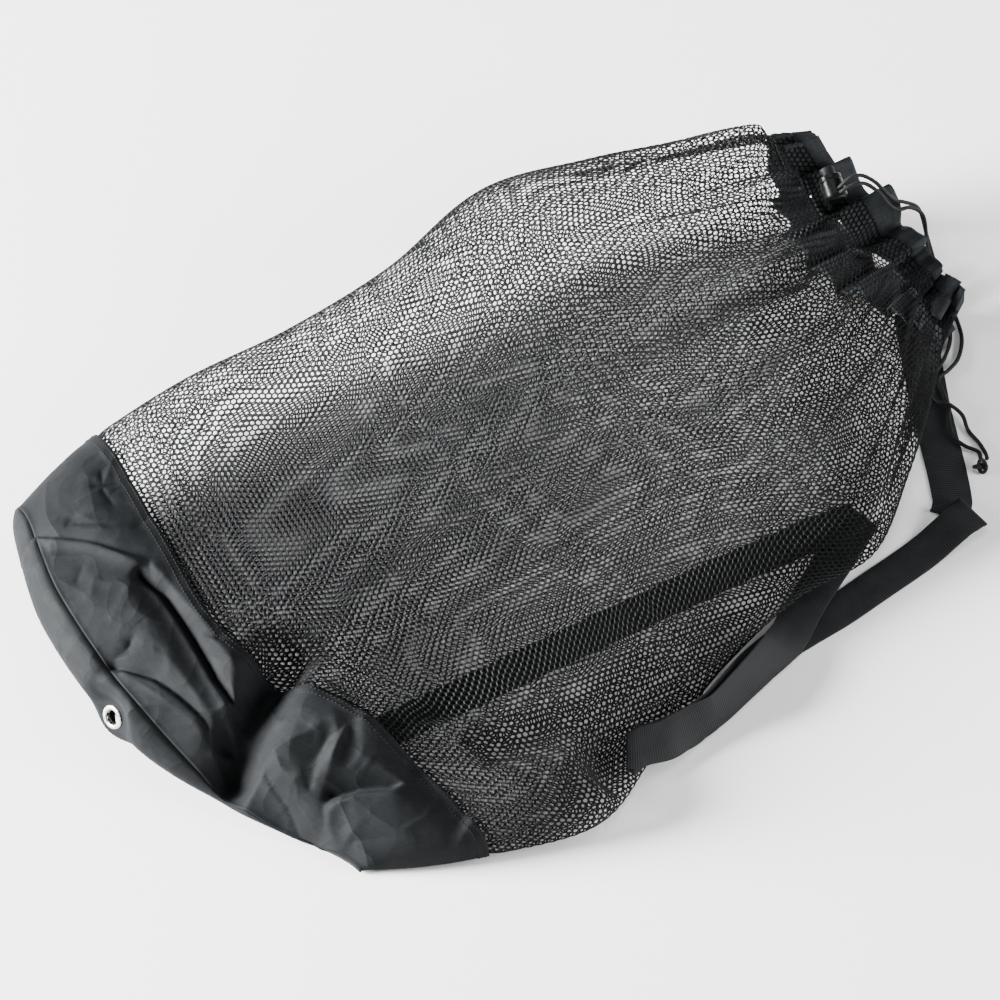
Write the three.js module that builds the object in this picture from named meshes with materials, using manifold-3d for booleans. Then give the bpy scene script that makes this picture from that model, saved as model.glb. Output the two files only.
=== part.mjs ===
// A drawstring mesh bag that lies on its side: nylon base, net body, gathered hem, cord lock and strap.
// Millimetres, +Z up. The bag lies along X, its base at -X and its mouth at +X, on the plane z = 0.
// The near edge is the one at -Y, where the strap lies, and the far edge is the one at +Y.
import * as THREE from "three";
import { mergeVertices } from "three/addons/utils/BufferGeometryUtils.js";
import Module from "manifold-3d";

const wasm = await Module();
wasm.setup();

// Driving dimensions.
const NYLON_WALL = 1.6;
const NET_WALL = 1.4;
const HEM_WALL = 2.2;
const SEAM_GAP = 0.3;
const HEM_GAP = 2;
const COLUMNS = 64;
const PLEATS = 16;
const STRAP_WIDTH = 30;
const STRAP_THICKNESS = 1.6;
const STRAP_ROOM_FROM_Y = [-90, -60];
const NEAR_ROOM_TO_Y = [-220, -180];
const CORD_DIAMETER = 3.2;
const CORD_SIDES = 6;
const EYELET_OUTER_RADIUS = 9.5;
const EYELET_HOLE_RADIUS = 5.8;
const EYELET_SIDES = 20;
const LOCK_RADIUS = 9;
const LOCK_LENGTH = 20;
const BUTTON_RADIUS = 5.6;
const BUTTON_SHOWING = 7;

// One row for each cross section, from the base to the mouth. near and far are the y of its two edges.
// x and z hold five values from the near edge to the far edge, evenly spaced across: where the section
// lies along the bag, and how high its upper side is there. under moves the middle of the underside
// along x. room is how far the underside stands off the floor at the near edge and further in, where
// the strap runs. gather is the height of the pleats, and rows is how many rows of faces lead to the
// next section.
const SECTIONS = [
  {
    at: "end seam", near: -220, far: 182, under: 8, room: [0, 0], gather: 0, rows: 3,
    x: [-294, -338, -359, -350, -317], z: [4, 21, 62, 72, 30],
  },
  {
    at: "base wall", near: -247, far: 189, under: 6, room: [1, 3], gather: 0, rows: 3,
    x: [-254, -287, -320, -305, -277], z: [6, 60, 84, 87, 38],
  },
  {
    at: "net seam", near: -268, far: 195, under: 4, room: [1, 5], gather: 0, rows: 2,
    x: [-209, -234, -278, -260, -236], z: [7, 76, 86, 88, 42],
  },
  {
    at: "low body", near: -294, far: 198, under: 0, room: [1, 5], gather: 0, rows: 2,
    x: [-125, -150, -185, -172, -150], z: [7, 66, 84, 86, 45],
  },
  {
    at: "body", near: -262, far: 189, under: 0, room: [1, 5], gather: 0, rows: 2,
    x: [-45, -62, -82, -76, -62], z: [7, 64, 84, 87, 46],
  },
  {
    at: "middle", near: -232, far: 181, under: 0, room: [4, 5], gather: 0, rows: 2,
    x: [40, 30, 22, 24, 26], z: [10, 66, 92, 109, 56],
  },
  {
    at: "upper body", near: -216, far: 184, under: 0, room: [5, 5], gather: 1, rows: 3,
    x: [118, 115, 112, 112, 110], z: [15, 78, 108, 142, 72],
  },
  {
    at: "shoulder", near: -213, far: 162, under: 0, room: [5, 5], gather: 3, rows: 2,
    x: [190, 195, 198, 196, 190], z: [10, 84, 121, 145, 76],
  },
  {
    at: "first gather", near: -168, far: 138, under: 0, room: [5, 5], gather: 6, rows: 2,
    x: [255, 262, 264, 258, 253], z: [12, 82, 120, 138, 80],
  },
  {
    at: "neck", near: -128, far: 118, under: 0, room: [5, 5], gather: 9, rows: 1,
    x: [305, 310, 300, 297, 298], z: [28, 84, 112, 139, 105],
  },
  {
    at: "hem seam", near: -98, far: 98, under: 0, room: [5, 5], gather: 11, rows: 3,
    x: [338, 336, 317, 314, 322], z: [46, 72, 92, 105, 87],
  },
  {
    at: "lip", near: -86, far: 90, under: 0, room: [5, 5], gather: 13, rows: 0,
    x: [368, 376, 370, 364, 356], z: [75, 72, 85, 92, 80],
  },
];
const NET_SEAM = 2;
const HEM_SEAM = 10;
const LIP = 11;

// Creases pressed into the upper side: from and to are points in plan, width and depth are of the crease.
const CREASES = [
  { at: "between the lobes", from: [-248, -70], to: [-322, -107], width: 18, depth: 30 },
  { at: "foot of the near lobe", from: [-322, -107], to: [-310, -180], width: 14, depth: 10 },
  { at: "across the far lobe", from: [-338, 142], to: [-296, 52], width: 12, depth: 9 },
  { at: "down the far lobe", from: [-298, 40], to: [-316, -70], width: 12, depth: 14 },
  { at: "from the end seam", from: [-356, -5], to: [-324, -80], width: 11, depth: 9 },
  { at: "on the near lobe", from: [-246, -146], to: [-288, -188], width: 12, depth: 9 },
  { at: "slack net", from: [-176, -216], to: [-88, -238], width: 16, depth: 12 },
  { at: "under the strap", from: [-84, -262], to: [-30, -254], width: 24, depth: 60 },
];

// Small helpers.
const lerp = THREE.MathUtils.lerp;
const smooth = THREE.MathUtils.smoothstep;
const radians = THREE.MathUtils.degToRad;
const vec = (x, y, z) => new THREE.Vector3(x, y, z);

function catmullRom(a, b, c, d, u) {
  const linear = (c - a) * u;
  const square = (2 * a - 5 * b + 4 * c - d) * u * u;
  const cube = (3 * b - a - 3 * c + d) * u * u * u;
  return b + 0.5 * (linear + square + cube);
}

// A smooth curve through five evenly spaced values, at a fraction of the way across.
function acrossFive(values, fraction) {
  const place = Math.min(fraction * 4, 3.9999);
  const i = Math.floor(place);
  const before = values[Math.max(i - 1, 0)];
  const after = values[Math.min(i + 2, 4)];
  return catmullRom(before, values[i], values[i + 1], after, place - i);
}

// How far a crease pulls the upper side down at a point in plan.
function creaseDepth(x, y) {
  let total = 0;
  for (const { from, to, width, depth } of CREASES) {
    const along = [to[0] - from[0], to[1] - from[1]];
    const lengthSquared = along[0] ** 2 + along[1] ** 2;
    const place = ((x - from[0]) * along[0] + (y - from[1]) * along[1]) / lengthSquared;
    const nearest = THREE.MathUtils.clamp(place, 0, 1);
    const away = Math.hypot(x - from[0] - nearest * along[0], y - from[1] - nearest * along[1]);
    total = Math.max(total, depth * Math.exp(-((away / width) ** 2)));
  }
  return total;
}

// The outer surface of a section at an angle round it: 0 at the near edge, over the top to pi at the
// far edge, and back along the underside.
const ROUND_EDGE = 0.6;
const FLAT_UNDERSIDE = 0.4;
const FULLY_FLAT = 0.93;

function sectionPoint(section, angle) {
  const { x, z, near, far, under, room, gather } = section;
  const across = (1 - Math.cos(angle)) / 2;
  const lift = Math.abs(Math.sin(angle));
  const onTop = angle < Math.PI;
  const edge = lerp(z[0], z[4], across);
  const y = lerp(near, far, across);
  const point = vec(acrossFive(x, across), y, 0);
  if (onTop) {
    const quarterLift = Math.sin(Math.PI / 3) ** ROUND_EDGE;
    const crown = [0.25, 0.5, 0.75].map((f, i) => z[i + 1] - lerp(z[0], z[4], f));
    crown[0] /= quarterLift;
    crown[2] /= quarterLift;
    const height = acrossFive([crown[0], ...crown, crown[2]], across);
    point.z = edge + height * lift ** ROUND_EDGE;
  } else {
    const standing = lerp(...room, smooth(y, ...NEAR_ROOM_TO_Y)) * (1 - smooth(y, ...STRAP_ROOM_FROM_Y));
    const flatness = Math.min(1, lift ** FLAT_UNDERSIDE / FULLY_FLAT);
    point.x += under * lift;
    point.z = lerp(edge, standing, flatness);
  }
  const wave = Math.cos(PLEATS * angle) * (0.8 + 0.2 * Math.cos(3 * angle + 0.7));
  const inward = (1 - Math.sin(angle)) / 2;
  const outwards = vec(0, point.y - (near + far) / 2, 1.5 * (point.z - 0.5 * z[2])).normalize();
  return point.addScaledVector(outwards, gather * (wave - inward));
}

// A point on the outer surface: place counts sections from the base, and column counts round the bag.
// A crease presses the upper side no lower than FLATTEST.
const FLATTEST = 6;
const sectionLoops = SECTIONS.map((section) =>
  Array.from({ length: COLUMNS }, (_, i) => sectionPoint(section, (2 * Math.PI * i) / COLUMNS)),
);

function surfacePoint(place, column) {
  const last = SECTIONS.length - 1;
  const i = Math.min(Math.floor(place), last - 1);
  const wrapped = ((column % COLUMNS) + COLUMNS) % COLUMNS;
  const [a, b, c, d] = [i - 1, i, i + 1, i + 2].map(
    (row) => sectionLoops[THREE.MathUtils.clamp(row, 0, last)][wrapped],
  );
  const made = vec(
    catmullRom(a.x, b.x, c.x, d.x, place - i),
    catmullRom(a.y, b.y, c.y, d.y, place - i),
    catmullRom(a.z, b.z, c.z, d.z, place - i),
  );
  if (wrapped < COLUMNS / 2) {
    const creased = made.z - creaseDepth(made.x, made.y);
    made.z = Math.max(creased, Math.min(made.z, FLATTEST));
  }
  made.z = Math.max(made.z, 0);
  return made;
}

// The places of the rows between two sections, with a gap left at the start for the seam.
function rowPlaces(first, last, gapAtStart) {
  const places = [];
  for (let i = first; i < last; i++)
    for (let r = 0; r < SECTIONS[i].rows; r++) places.push(i + r / SECTIONS[i].rows);
  places.push(last);
  if (gapAtStart > 0) {
    const step = 0.02;
    const length = surfacePoint(first, 16).distanceTo(surfacePoint(first + step, 16));
    places[0] = first + (step * gapAtStart) / length;
  }
  return places;
}

// Closed walls are made of quads between two sheets of points, the outer one and the inner one.
class Wall {
  constructor() {
    this.points = [];
    this.faces = [];
  }
  add(points) {
    const first = this.points.length;
    this.points.push(...points);
    return first;
  }
  quad(a, b, c, d) {
    this.faces.push(a, b, c, a, c, d);
  }
  geometry() {
    const made = new THREE.BufferGeometry().setFromPoints(this.points);
    made.setIndex(this.faces);
    return made;
  }
}

// The direction out of the bag at a point of its surface.
function outOf(place, column) {
  const step = 0.1;
  const before = surfacePoint(Math.max(place - step, 0), column);
  const along = surfacePoint(Math.min(place + step, LIP), column).sub(before);
  const around = surfacePoint(place, column + 1).sub(surfacePoint(place, column - 1));
  return along.cross(around).normalize();
}

// A wall round the bag between two sections, with its thickness inside the surface.
function tubeWall(first, last, thickness, gapAtStart) {
  const wall = new Wall();
  const places = rowPlaces(first, last, gapAtStart);
  const ring = (make) => Array.from({ length: COLUMNS }, (_, i) => make(i));
  const outerFirst = places.map((place) => wall.add(ring((i) => surfacePoint(place, i))));
  const innerFirst = places.map((place) =>
    wall.add(ring((i) => surfacePoint(place, i).addScaledVector(outOf(place, i), -thickness))),
  );
  const end = places.length - 1;
  for (let i = 0; i < COLUMNS; i++) {
    const j = (i + 1) % COLUMNS;
    for (let r = 0; r < end; r++) {
      wall.quad(outerFirst[r] + i, outerFirst[r + 1] + i, outerFirst[r + 1] + j, outerFirst[r] + j);
      wall.quad(innerFirst[r] + i, innerFirst[r] + j, innerFirst[r + 1] + j, innerFirst[r + 1] + i);
    }
    wall.quad(outerFirst[0] + i, outerFirst[0] + j, innerFirst[0] + j, innerFirst[0] + i);
    wall.quad(outerFirst[end] + i, innerFirst[end] + i, innerFirst[end] + j, outerFirst[end] + j);
  }
  return wall.geometry();
}

// An open patch of rows of outer points, with its thickness behind them and a rim all round.
function patchWall(rows, thickness) {
  const wall = new Wall();
  const last = rows.length - 1;
  const end = rows[0].length - 1;
  const inner = rows.map((row, r) =>
    row.map((point, i) => {
      const across = row[Math.min(i + 1, end)].clone().sub(row[Math.max(i - 1, 0)]);
      const down = rows[Math.min(r + 1, last)][i].clone().sub(rows[Math.max(r - 1, 0)][i]);
      const behind = point.clone().addScaledVector(down.cross(across).normalize(), -thickness);
      return behind.setZ(Math.max(behind.z, 0));
    }),
  );
  const outerFirst = rows.map((row) => wall.add(row));
  const innerFirst = inner.map((row) => wall.add(row));
  for (let i = 0; i < end; i++) {
    for (let r = 0; r < last; r++) {
      wall.quad(outerFirst[r] + i, outerFirst[r + 1] + i, outerFirst[r + 1] + i + 1, outerFirst[r] + i + 1);
      wall.quad(innerFirst[r] + i, innerFirst[r] + i + 1, innerFirst[r + 1] + i + 1, innerFirst[r + 1] + i);
    }
    wall.quad(outerFirst[0] + i, outerFirst[0] + i + 1, innerFirst[0] + i + 1, innerFirst[0] + i);
    wall.quad(outerFirst[last] + i, innerFirst[last] + i, innerFirst[last] + i + 1, outerFirst[last] + i + 1);
  }
  for (let r = 0; r < last; r++) {
    wall.quad(outerFirst[r], innerFirst[r], innerFirst[r + 1], outerFirst[r + 1]);
    wall.quad(outerFirst[r] + end, outerFirst[r + 1] + end, innerFirst[r + 1] + end, innerFirst[r] + end);
  }
  return wall.geometry();
}

// Joins and cuts.
function solidOf(geometry) {
  const bare = geometry.clone();
  bare.deleteAttribute("normal");
  bare.deleteAttribute("uv");
  const merged = mergeVertices(bare, 1e-4);
  const mesh = new wasm.Mesh({
    numProp: 3,
    vertProperties: merged.attributes.position.array,
    triVerts: new Uint32Array(merged.index.array),
  });
  return new wasm.Manifold(mesh);
}

function geometryOf(solid) {
  const mesh = solid.getMesh();
  const made = new THREE.BufferGeometry();
  made.setAttribute("position", new THREE.BufferAttribute(mesh.vertProperties, 3));
  made.setIndex(new THREE.BufferAttribute(mesh.triVerts, 1));
  return made;
}

// Turns a shape made along +Y so that it lies along a direction at a place.
function placed(geometry, direction, place) {
  const turn = new THREE.Quaternion().setFromUnitVectors(vec(0, 1, 0), direction.clone().normalize());
  return geometry.applyQuaternion(turn).translate(place.x, place.y, place.z);
}

// Base: the side wall, the end panel and its eyelet.
const baseWall = () => tubeWall(0, NET_SEAM, NYLON_WALL, 0);

const EYELET_PLACE = vec(-367.5, -11, 31);
const EYELET_OUT = vec(-1, -0.02, 0.12).normalize();
const PANEL_ROWS = 6;
const PANEL_BULGE = 15;
const PANEL_SET_OFF = NYLON_WALL + SEAM_GAP;
const LAND_RADIUS = 13;
const LAND_LAP = 0.6;
const CUT_THROUGH = 16;
const EYELET_NECK = 1;

// The panel runs down from the upper half of the end seam to its lower half, and bulges between them.
function panelRows() {
  const half = COLUMNS / 2;
  return Array.from({ length: PANEL_ROWS + 1 }, (_, r) => {
    const down = r / PANEL_ROWS;
    return Array.from({ length: half - 1 }, (_, k) => {
      const i = k + 1;
      const ends = [i, COLUMNS - i].map((column) => {
        const rim = surfacePoint(0, column);
        const ahead = surfacePoint(0.05, column).sub(rim).normalize();
        rim.addScaledVector(ahead, -PANEL_SET_OFF);
        return rim.setZ(Math.max(rim.z, 0));
      });
      const point = ends[0].clone().lerp(ends[1], down);
      const tall = smooth(ends[0].z - ends[1].z, 0, 60);
      const outline = 1 - Math.abs(2 * (i / half) - 1) ** 3;
      point.x -= PANEL_BULGE * tall * outline * Math.sin(Math.PI * down ** 0.7);
      return point;
    });
  });
}

function basePanel() {
  const disc = (radius, thickness) => new THREE.CylinderGeometry(radius, radius, thickness, EYELET_SIDES);
  const land = disc(LAND_RADIUS, NYLON_WALL);
  const clearing = disc(LAND_RADIUS - LAND_LAP, CUT_THROUGH);
  const hole = disc(EYELET_HOLE_RADIUS + EYELET_NECK + SEAM_GAP, CUT_THROUGH);
  const [landSolid, clearingSolid, holeSolid] = [land, clearing, hole].map((shape) =>
    solidOf(placed(shape, EYELET_OUT, EYELET_PLACE)),
  );
  const panel = solidOf(patchWall(panelRows(), NYLON_WALL)).subtract(clearingSolid);
  return geometryOf(panel.add(landSolid).subtract(holeSolid));
}

// The ring is rolled over both faces of the panel round the drain hole.
function eyelet() {
  const face = NYLON_WALL / 2 + SEAM_GAP;
  const inner = EYELET_HOLE_RADIUS;
  const outer = EYELET_OUTER_RADIUS;
  const profile = [
    [inner, -face - 0.6],
    [inner + 0.6, -face - 1.1],
    [outer - 0.7, -face - 0.7],
    [outer, -face],
    [inner + EYELET_NECK, -face],
    [inner + EYELET_NECK, face],
    [outer, face],
    [outer - 0.4, face + 0.8],
    [outer - 1.6, face + 1.3],
    [inner + 0.8, face + 1],
    [inner, face + 0.2],
    [inner, -face - 0.6],
  ].map(([r, h]) => new THREE.Vector2(r, h));
  return placed(new THREE.LatheGeometry(profile, EYELET_SIDES), EYELET_OUT, EYELET_PLACE);
}

// Net body and hem.
const meshBody = () => tubeWall(NET_SEAM, HEM_SEAM, NET_WALL, SEAM_GAP);
const hemCasing = () => tubeWall(HEM_SEAM, LIP, HEM_WALL, HEM_GAP);

// Shoulder strap. One row for each place along it, with the plan angle of its width and how steeply the
// width rises.
// A row with a fold turns the strap over about a crease that lies at that angle.
const STRAP_PLACES = [
  { x: 354, y: -46, z: 3.2, across: -29, lean: 0 },
  { x: 340, y: -71, z: 2.2, across: -29, lean: 0 },
  { x: 326, y: -97, z: 0.8, across: -26, lean: 0 },
  { x: 312, y: -123, z: 0.8, across: -23, lean: 0 },
  { x: 298, y: -152, z: 0.8, across: -23, lean: 0 },
  { x: 285, y: -179, z: 0.8, across: -32, lean: 0 },
  { x: 272, y: -203, z: 0.8, across: -46, lean: 0 },
  { x: 264, y: -216, z: 0.8, across: -55, lean: 0, fold: 1.7, ahead: 247 },
  { x: 269, y: -221.5, z: 4.2, across: -71, lean: 0 },
  { x: 274, y: -224, z: 4.2, across: -87, lean: 0, fold: 1.7, ahead: -20 },
  { x: 260, y: -226.5, z: 7.6, across: -86, lean: 0 },
  { x: 246, y: -228, z: 5.2, across: -86, lean: 0 },
  { x: 230, y: -229.5, z: 2, across: -86, lean: 0 },
  { x: 212, y: -231, z: 0.8, across: -86, lean: 0 },
  { x: 176, y: -233.5, z: 0.8, across: -86, lean: 0 },
  { x: 140, y: -236, z: 0.8, across: -86, lean: 0 },
  { x: 108, y: -236, z: 0.8, across: -83, lean: 0 },
  { x: 90, y: -237, z: 2.6, across: -78, lean: -6 },
  { x: 66, y: -244, z: 8.4, across: -74, lean: -30 },
  { x: 36, y: -252, z: 13.4, across: -76, lean: -54 },
  { x: 4, y: -261, z: 14.6, across: -84, lean: -64 },
  { x: -20, y: -265, z: 13.6, across: -98, lean: -50 },
  { x: -42, y: -262, z: 14, across: -112, lean: -30 },
  { x: -60, y: -258, z: 14.6, across: -122, lean: -18 },
  { x: -72, y: -259, z: 15, across: -126, lean: -14, fold: 2, ahead: 144 },
  { x: -59, y: -262, z: 18.4, across: -121, lean: -22 },
  { x: -42, y: -266.5, z: 17, across: -110, lean: -36 },
  { x: -20, y: -265.5, z: 15.6, across: -95, lean: -54 },
  { x: 3, y: -265.5, z: 15.4, across: -80, lean: -70 },
  { x: 33, y: -258, z: 15, across: -73, lean: -64 },
  { x: 60, y: -250, z: 14, across: -69, lean: -56 },
  { x: 80, y: -243, z: 11.6, across: -66, lean: -40 },
  { x: 96, y: -235, z: 6.8, across: -64, lean: -17 },
  { x: 112, y: -224.5, z: 4, across: -62, lean: -5 },
  { x: 130, y: -214.5, z: 2.3, across: -62, lean: 4 },
  { x: 150, y: -204, z: 0.8, across: -63, lean: 0 },
  { x: 175, y: -192, z: 0.8, across: -66, lean: 0 },
  { x: 193, y: -183, z: 0.8, across: -73, lean: 0 },
  { x: 207, y: -176, z: 0.8, across: -80, lean: 0, fold: 1.25, ahead: 26 },
  { x: 190, y: -172.5, z: 3.3, across: -88, lean: 0 },
  { x: 165, y: -167.5, z: 3.1, across: -98, lean: 0 },
  { x: 138, y: -163, z: 1.6, across: -100, lean: 0 },
  { x: 110, y: -158, z: 0.8, across: -100, lean: 0 },
  { x: 20, y: -148, z: 0.8, across: -97, lean: 0 },
  { x: -90, y: -136, z: 0.8, across: -96, lean: 0 },
  { x: -190, y: -126, z: 0.8, across: -96, lean: 0 },
  { x: -222, y: -122.5, z: 2, across: -96, lean: 0 },
  { x: -258, y: -119, z: 2.6, across: -96, lean: 0 },
];
const FOLD_STEPS = 5;
const STEEPEST_CREASE = 0.8;

const inPlan = (degrees) => vec(Math.cos(radians(degrees)), Math.sin(radians(degrees)), 0);

// The centres and width directions of the strap, with each fold rolled round its crease.
function strapRungs() {
  const rungs = [];
  for (const { x, y, z, across, lean, fold, ahead } of STRAP_PLACES) {
    const flat = inPlan(across).multiplyScalar(Math.cos(radians(lean)));
    const width = flat.setZ(Math.sin(radians(lean)));
    const centre = vec(x, y, z);
    if (!fold) {
      rungs.push({ centre, width });
      continue;
    }
    const heading = inPlan(ahead);
    const along = heading.dot(inPlan(across));
    const outwards = heading.clone().addScaledVector(inPlan(across), -along).normalize();
    const shift = (Math.PI * fold * along) / Math.sqrt(1 - along * along);
    for (let k = 0; k <= FOLD_STEPS; k++) {
      const turn = (Math.PI * k) / FOLD_STEPS;
      const point = centre.clone().addScaledVector(outwards, fold * Math.sin(turn));
      point.addScaledVector(width, shift * (k / FOLD_STEPS - 0.5));
      point.z += fold * (1 - Math.cos(turn));
      const tangent = outwards.clone().multiplyScalar(Math.PI * fold * Math.cos(turn));
      tangent.addScaledVector(width, shift);
      tangent.z += Math.PI * fold * Math.sin(turn);
      rungs.push({ centre: point, width, tangent: tangent.normalize() });
    }
  }
  return rungs;
}

// A strip of webbing between the two edges that the rungs give, closed at both ends.
function shoulderStrap() {
  const rungs = strapRungs();
  const last = rungs.length - 1;
  const wall = new Wall();
  const firsts = rungs.map(({ centre, width, tangent }, r) => {
    const before = rungs[Math.max(r - 1, 0)].centre;
    const after = rungs[Math.min(r + 1, last)].centre;
    const along = tangent ?? after.clone().sub(before).normalize();
    const normal = along.clone().cross(width);
    const half = STRAP_WIDTH / 2 / Math.max(normal.length(), STEEPEST_CREASE);
    normal.setLength(STRAP_THICKNESS / 2);
    const edges = [-half, half].map((reach) => centre.clone().addScaledVector(width, reach));
    return wall.add([
      edges[0].clone().add(normal),
      edges[1].clone().add(normal),
      edges[1].clone().sub(normal),
      edges[0].clone().sub(normal),
    ]);
  });
  for (let r = 0; r < last; r++)
    for (let k = 0; k < 4; k++) {
      const next = (k + 1) % 4;
      wall.quad(firsts[r] + k, firsts[r + 1] + k, firsts[r + 1] + next, firsts[r] + next);
    }
  wall.quad(firsts[0], firsts[0] + 1, firsts[0] + 2, firsts[0] + 3);
  wall.quad(firsts[last], firsts[last] + 3, firsts[last] + 2, firsts[last] + 1);
  return wall.geometry();
}

// Cord lock on the hem: the barrel lies along LOCK_AHEAD, and its button stands out at the other end.
const LOCK_PLACE = vec(324, 16, 115.5);
const LOCK_AHEAD = vec(-0.27, -0.9, -0.34).normalize();
const SLOT_AHEAD = vec(0.2, -0.4, 0.89).projectOnPlane(LOCK_AHEAD).normalize();
const SLOT_FROM_RIM = 14.4;
const SLOT_LONG = 8;
const SLOT_WIDE = 4.4;
const CORD_APART = 1.9;
const BORE_DEPTH = 11.2;
const BUTTON_IN_BORE = 6;
const LOCK_SIDES = 20;
const RIM_BEVEL = 1;
const FOOT_LENGTH = 3;
const FOOT_TAPER = 2;

const lathe = (profile, sides) =>
  new THREE.LatheGeometry(profile.map(([r, h]) => new THREE.Vector2(r, h)), sides);
const alongLock = (fromRim) =>
  LOCK_PLACE.clone().addScaledVector(LOCK_AHEAD, fromRim - LOCK_LENGTH / 2);

function lockBarrel() {
  const half = LOCK_LENGTH / 2;
  const profile = [
    [0, -half],
    [LOCK_RADIUS - RIM_BEVEL, -half],
    [LOCK_RADIUS, RIM_BEVEL - half],
    [LOCK_RADIUS, half - FOOT_LENGTH],
    [LOCK_RADIUS - FOOT_TAPER, half],
    [0, half],
  ];
  const body = lathe(profile, LOCK_SIDES);
  const boreRadius = BUTTON_RADIUS + SEAM_GAP;
  const bore = new THREE.CylinderGeometry(boreRadius, boreRadius, BORE_DEPTH * 2, LOCK_SIDES);
  const slot = new THREE.BoxGeometry(SLOT_WIDE, SLOT_LONG, LOCK_RADIUS * 3);
  const side = new THREE.Vector3().crossVectors(LOCK_AHEAD, SLOT_AHEAD);
  slot.applyMatrix4(new THREE.Matrix4().makeBasis(side, LOCK_AHEAD, SLOT_AHEAD));
  const middle = alongLock(SLOT_FROM_RIM);
  const slotSolid = solidOf(slot.translate(middle.x, middle.y, middle.z));
  const boreSolid = solidOf(placed(bore, LOCK_AHEAD, alongLock(0)));
  const bodySolid = solidOf(placed(body, LOCK_AHEAD, LOCK_PLACE));
  return geometryOf(bodySolid.subtract(boreSolid).subtract(slotSolid));
}

function lockButton() {
  const top = BUTTON_SHOWING;
  const profile = [
    [0, -top],
    [BUTTON_RADIUS - RIM_BEVEL, -top],
    [BUTTON_RADIUS, RIM_BEVEL - top],
    [BUTTON_RADIUS, BUTTON_IN_BORE],
    [0, BUTTON_IN_BORE],
  ];
  return placed(lathe(profile, LOCK_SIDES), LOCK_AHEAD, alongLock(0));
}

// The two ends of the drawcord, as points that a smooth curve passes through after the lock's slot.
const CORD_POINTS = [
  [
    [334, 8, 129.5], [343, 7, 127], [351, 0, 120], [357, -7, 108], [363, -9.5, 98],
    [371, -10.5, 91], [382, -13, 78], [386, -20, 46], [386.5, -34, 14], [385.5, -44, 5],
    [382, -55, 2.6], [377, -70, 2], [370, -85, 1.9], [356, -99, 2.2], [343, -104.5, 3.8],
    [331, -107, 4.2], [326.5, -119, 4.2], [321, -133, 4.2], [313.5, -144, 4.2], [307.5, -157, 4.2],
    [309, -169, 4], [314.5, -179.5, 2.8], [311, -186.8, 4.6],
  ],
  [
    [334, 3, 126.5], [342, 1.5, 123.5], [349, -5.5, 116], [354, -13, 104], [360, -16, 95.5],
    [371, -17, 91], [381, -20, 78], [381, -27, 45], [380.5, -41, 14], [379, -50, 5],
    [375, -59, 2.8], [370, -69, 2], [362, -81, 1.9], [348, -93, 3.8], [334, -101, 4.2],
    [322, -112, 4.2], [318, -124, 4.4], [321.5, -134.5, 8.4], [325, -145, 4.4], [321, -158, 2],
    [320.5, -172, 1.9], [318, -184, 2.4], [315, -189.4, 4.6],
  ],
];
const CORD_STEPS = 60;
const CORD_START = vec(321, 18, 93);
const CORD_IN_SLOT = 11;

function cordCurve(end) {
  const along = end === 0 ? -CORD_APART : CORD_APART;
  const inSlot = alongLock(SLOT_FROM_RIM + along);
  const points = [
    CORD_START.clone().addScaledVector(vec(0, -1, 0), along),
    ...[-1, -0.5, 0, 0.5, 1].map((reach) =>
      inSlot.clone().addScaledVector(SLOT_AHEAD, reach * CORD_IN_SLOT),
    ),
    ...CORD_POINTS[end].map((point) => vec(...point)),
  ];
  return new THREE.CatmullRomCurve3(points, false, "centripetal");
}

// A round cord along a curve, with flat ends.
function cord(curve, steps, closed = false) {
  const wall = new Wall();
  const frames = curve.computeFrenetFrames(steps, closed);
  const count = closed ? steps : steps + 1;
  const firsts = Array.from({ length: count }, (_, r) => {
    const centre = curve.getPointAt(r / steps);
    return wall.add(
      Array.from({ length: CORD_SIDES }, (_, k) => {
        const turn = (2 * Math.PI * k) / CORD_SIDES;
        const out = frames.normals[r].clone().multiplyScalar(Math.cos(turn));
        out.addScaledVector(frames.binormals[r], Math.sin(turn));
        return centre.clone().addScaledVector(out, CORD_DIAMETER / 2);
      }),
    );
  });
  for (let r = 0; r < (closed ? count : count - 1); r++)
    for (let k = 0; k < CORD_SIDES; k++) {
      const next = (k + 1) % CORD_SIDES;
      const after = firsts[(r + 1) % count];
      wall.quad(firsts[r] + k, firsts[r] + next, after + next, after + k);
    }
  if (!closed)
    for (let k = 1; k < CORD_SIDES - 1; k++) {
      const last = firsts[count - 1];
      wall.faces.push(firsts[0], firsts[0] + k + 1, firsts[0] + k);
      wall.faces.push(last, last + k, last + k + 1);
    }
  return wall.geometry();
}

// The knot is one cord tied in three loops.
class Trefoil extends THREE.Curve {
  getPoint(t) {
    const a = 2 * Math.PI * t;
    const x = Math.sin(a) + 2 * Math.sin(2 * a);
    const y = Math.cos(a) - 2 * Math.cos(2 * a);
    const flat = vec(x, y, 0).multiplyScalar(KNOT_REACH / 3);
    return flat.setZ(-KNOT_LIFT * Math.sin(3 * a)).add(KNOT_PLACE);
  }
}
const KNOT_REACH = 5.2;
const KNOT_LIFT = 2.3;
const KNOT_PLACE = vec(307.3, -192.2, 4.2);
const KNOT_STEPS = 36;

const colours = {
  nylon: 0x4a4f54,
  net: 0x1b1d1f,
  hem: 0x2c2f33,
  webbing: 0x17191b,
  cord: 0x101113,
  plastic: 0x121315,
  nickel: 0xb9bab6,
};

function piece(name, geometry, colour, roughness, metalness = 0) {
  const material = new THREE.MeshStandardMaterial({ color: colour, roughness, metalness });
  const mesh = new THREE.Mesh(geometry, material);
  mesh.name = name;
  return mesh;
}

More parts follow.
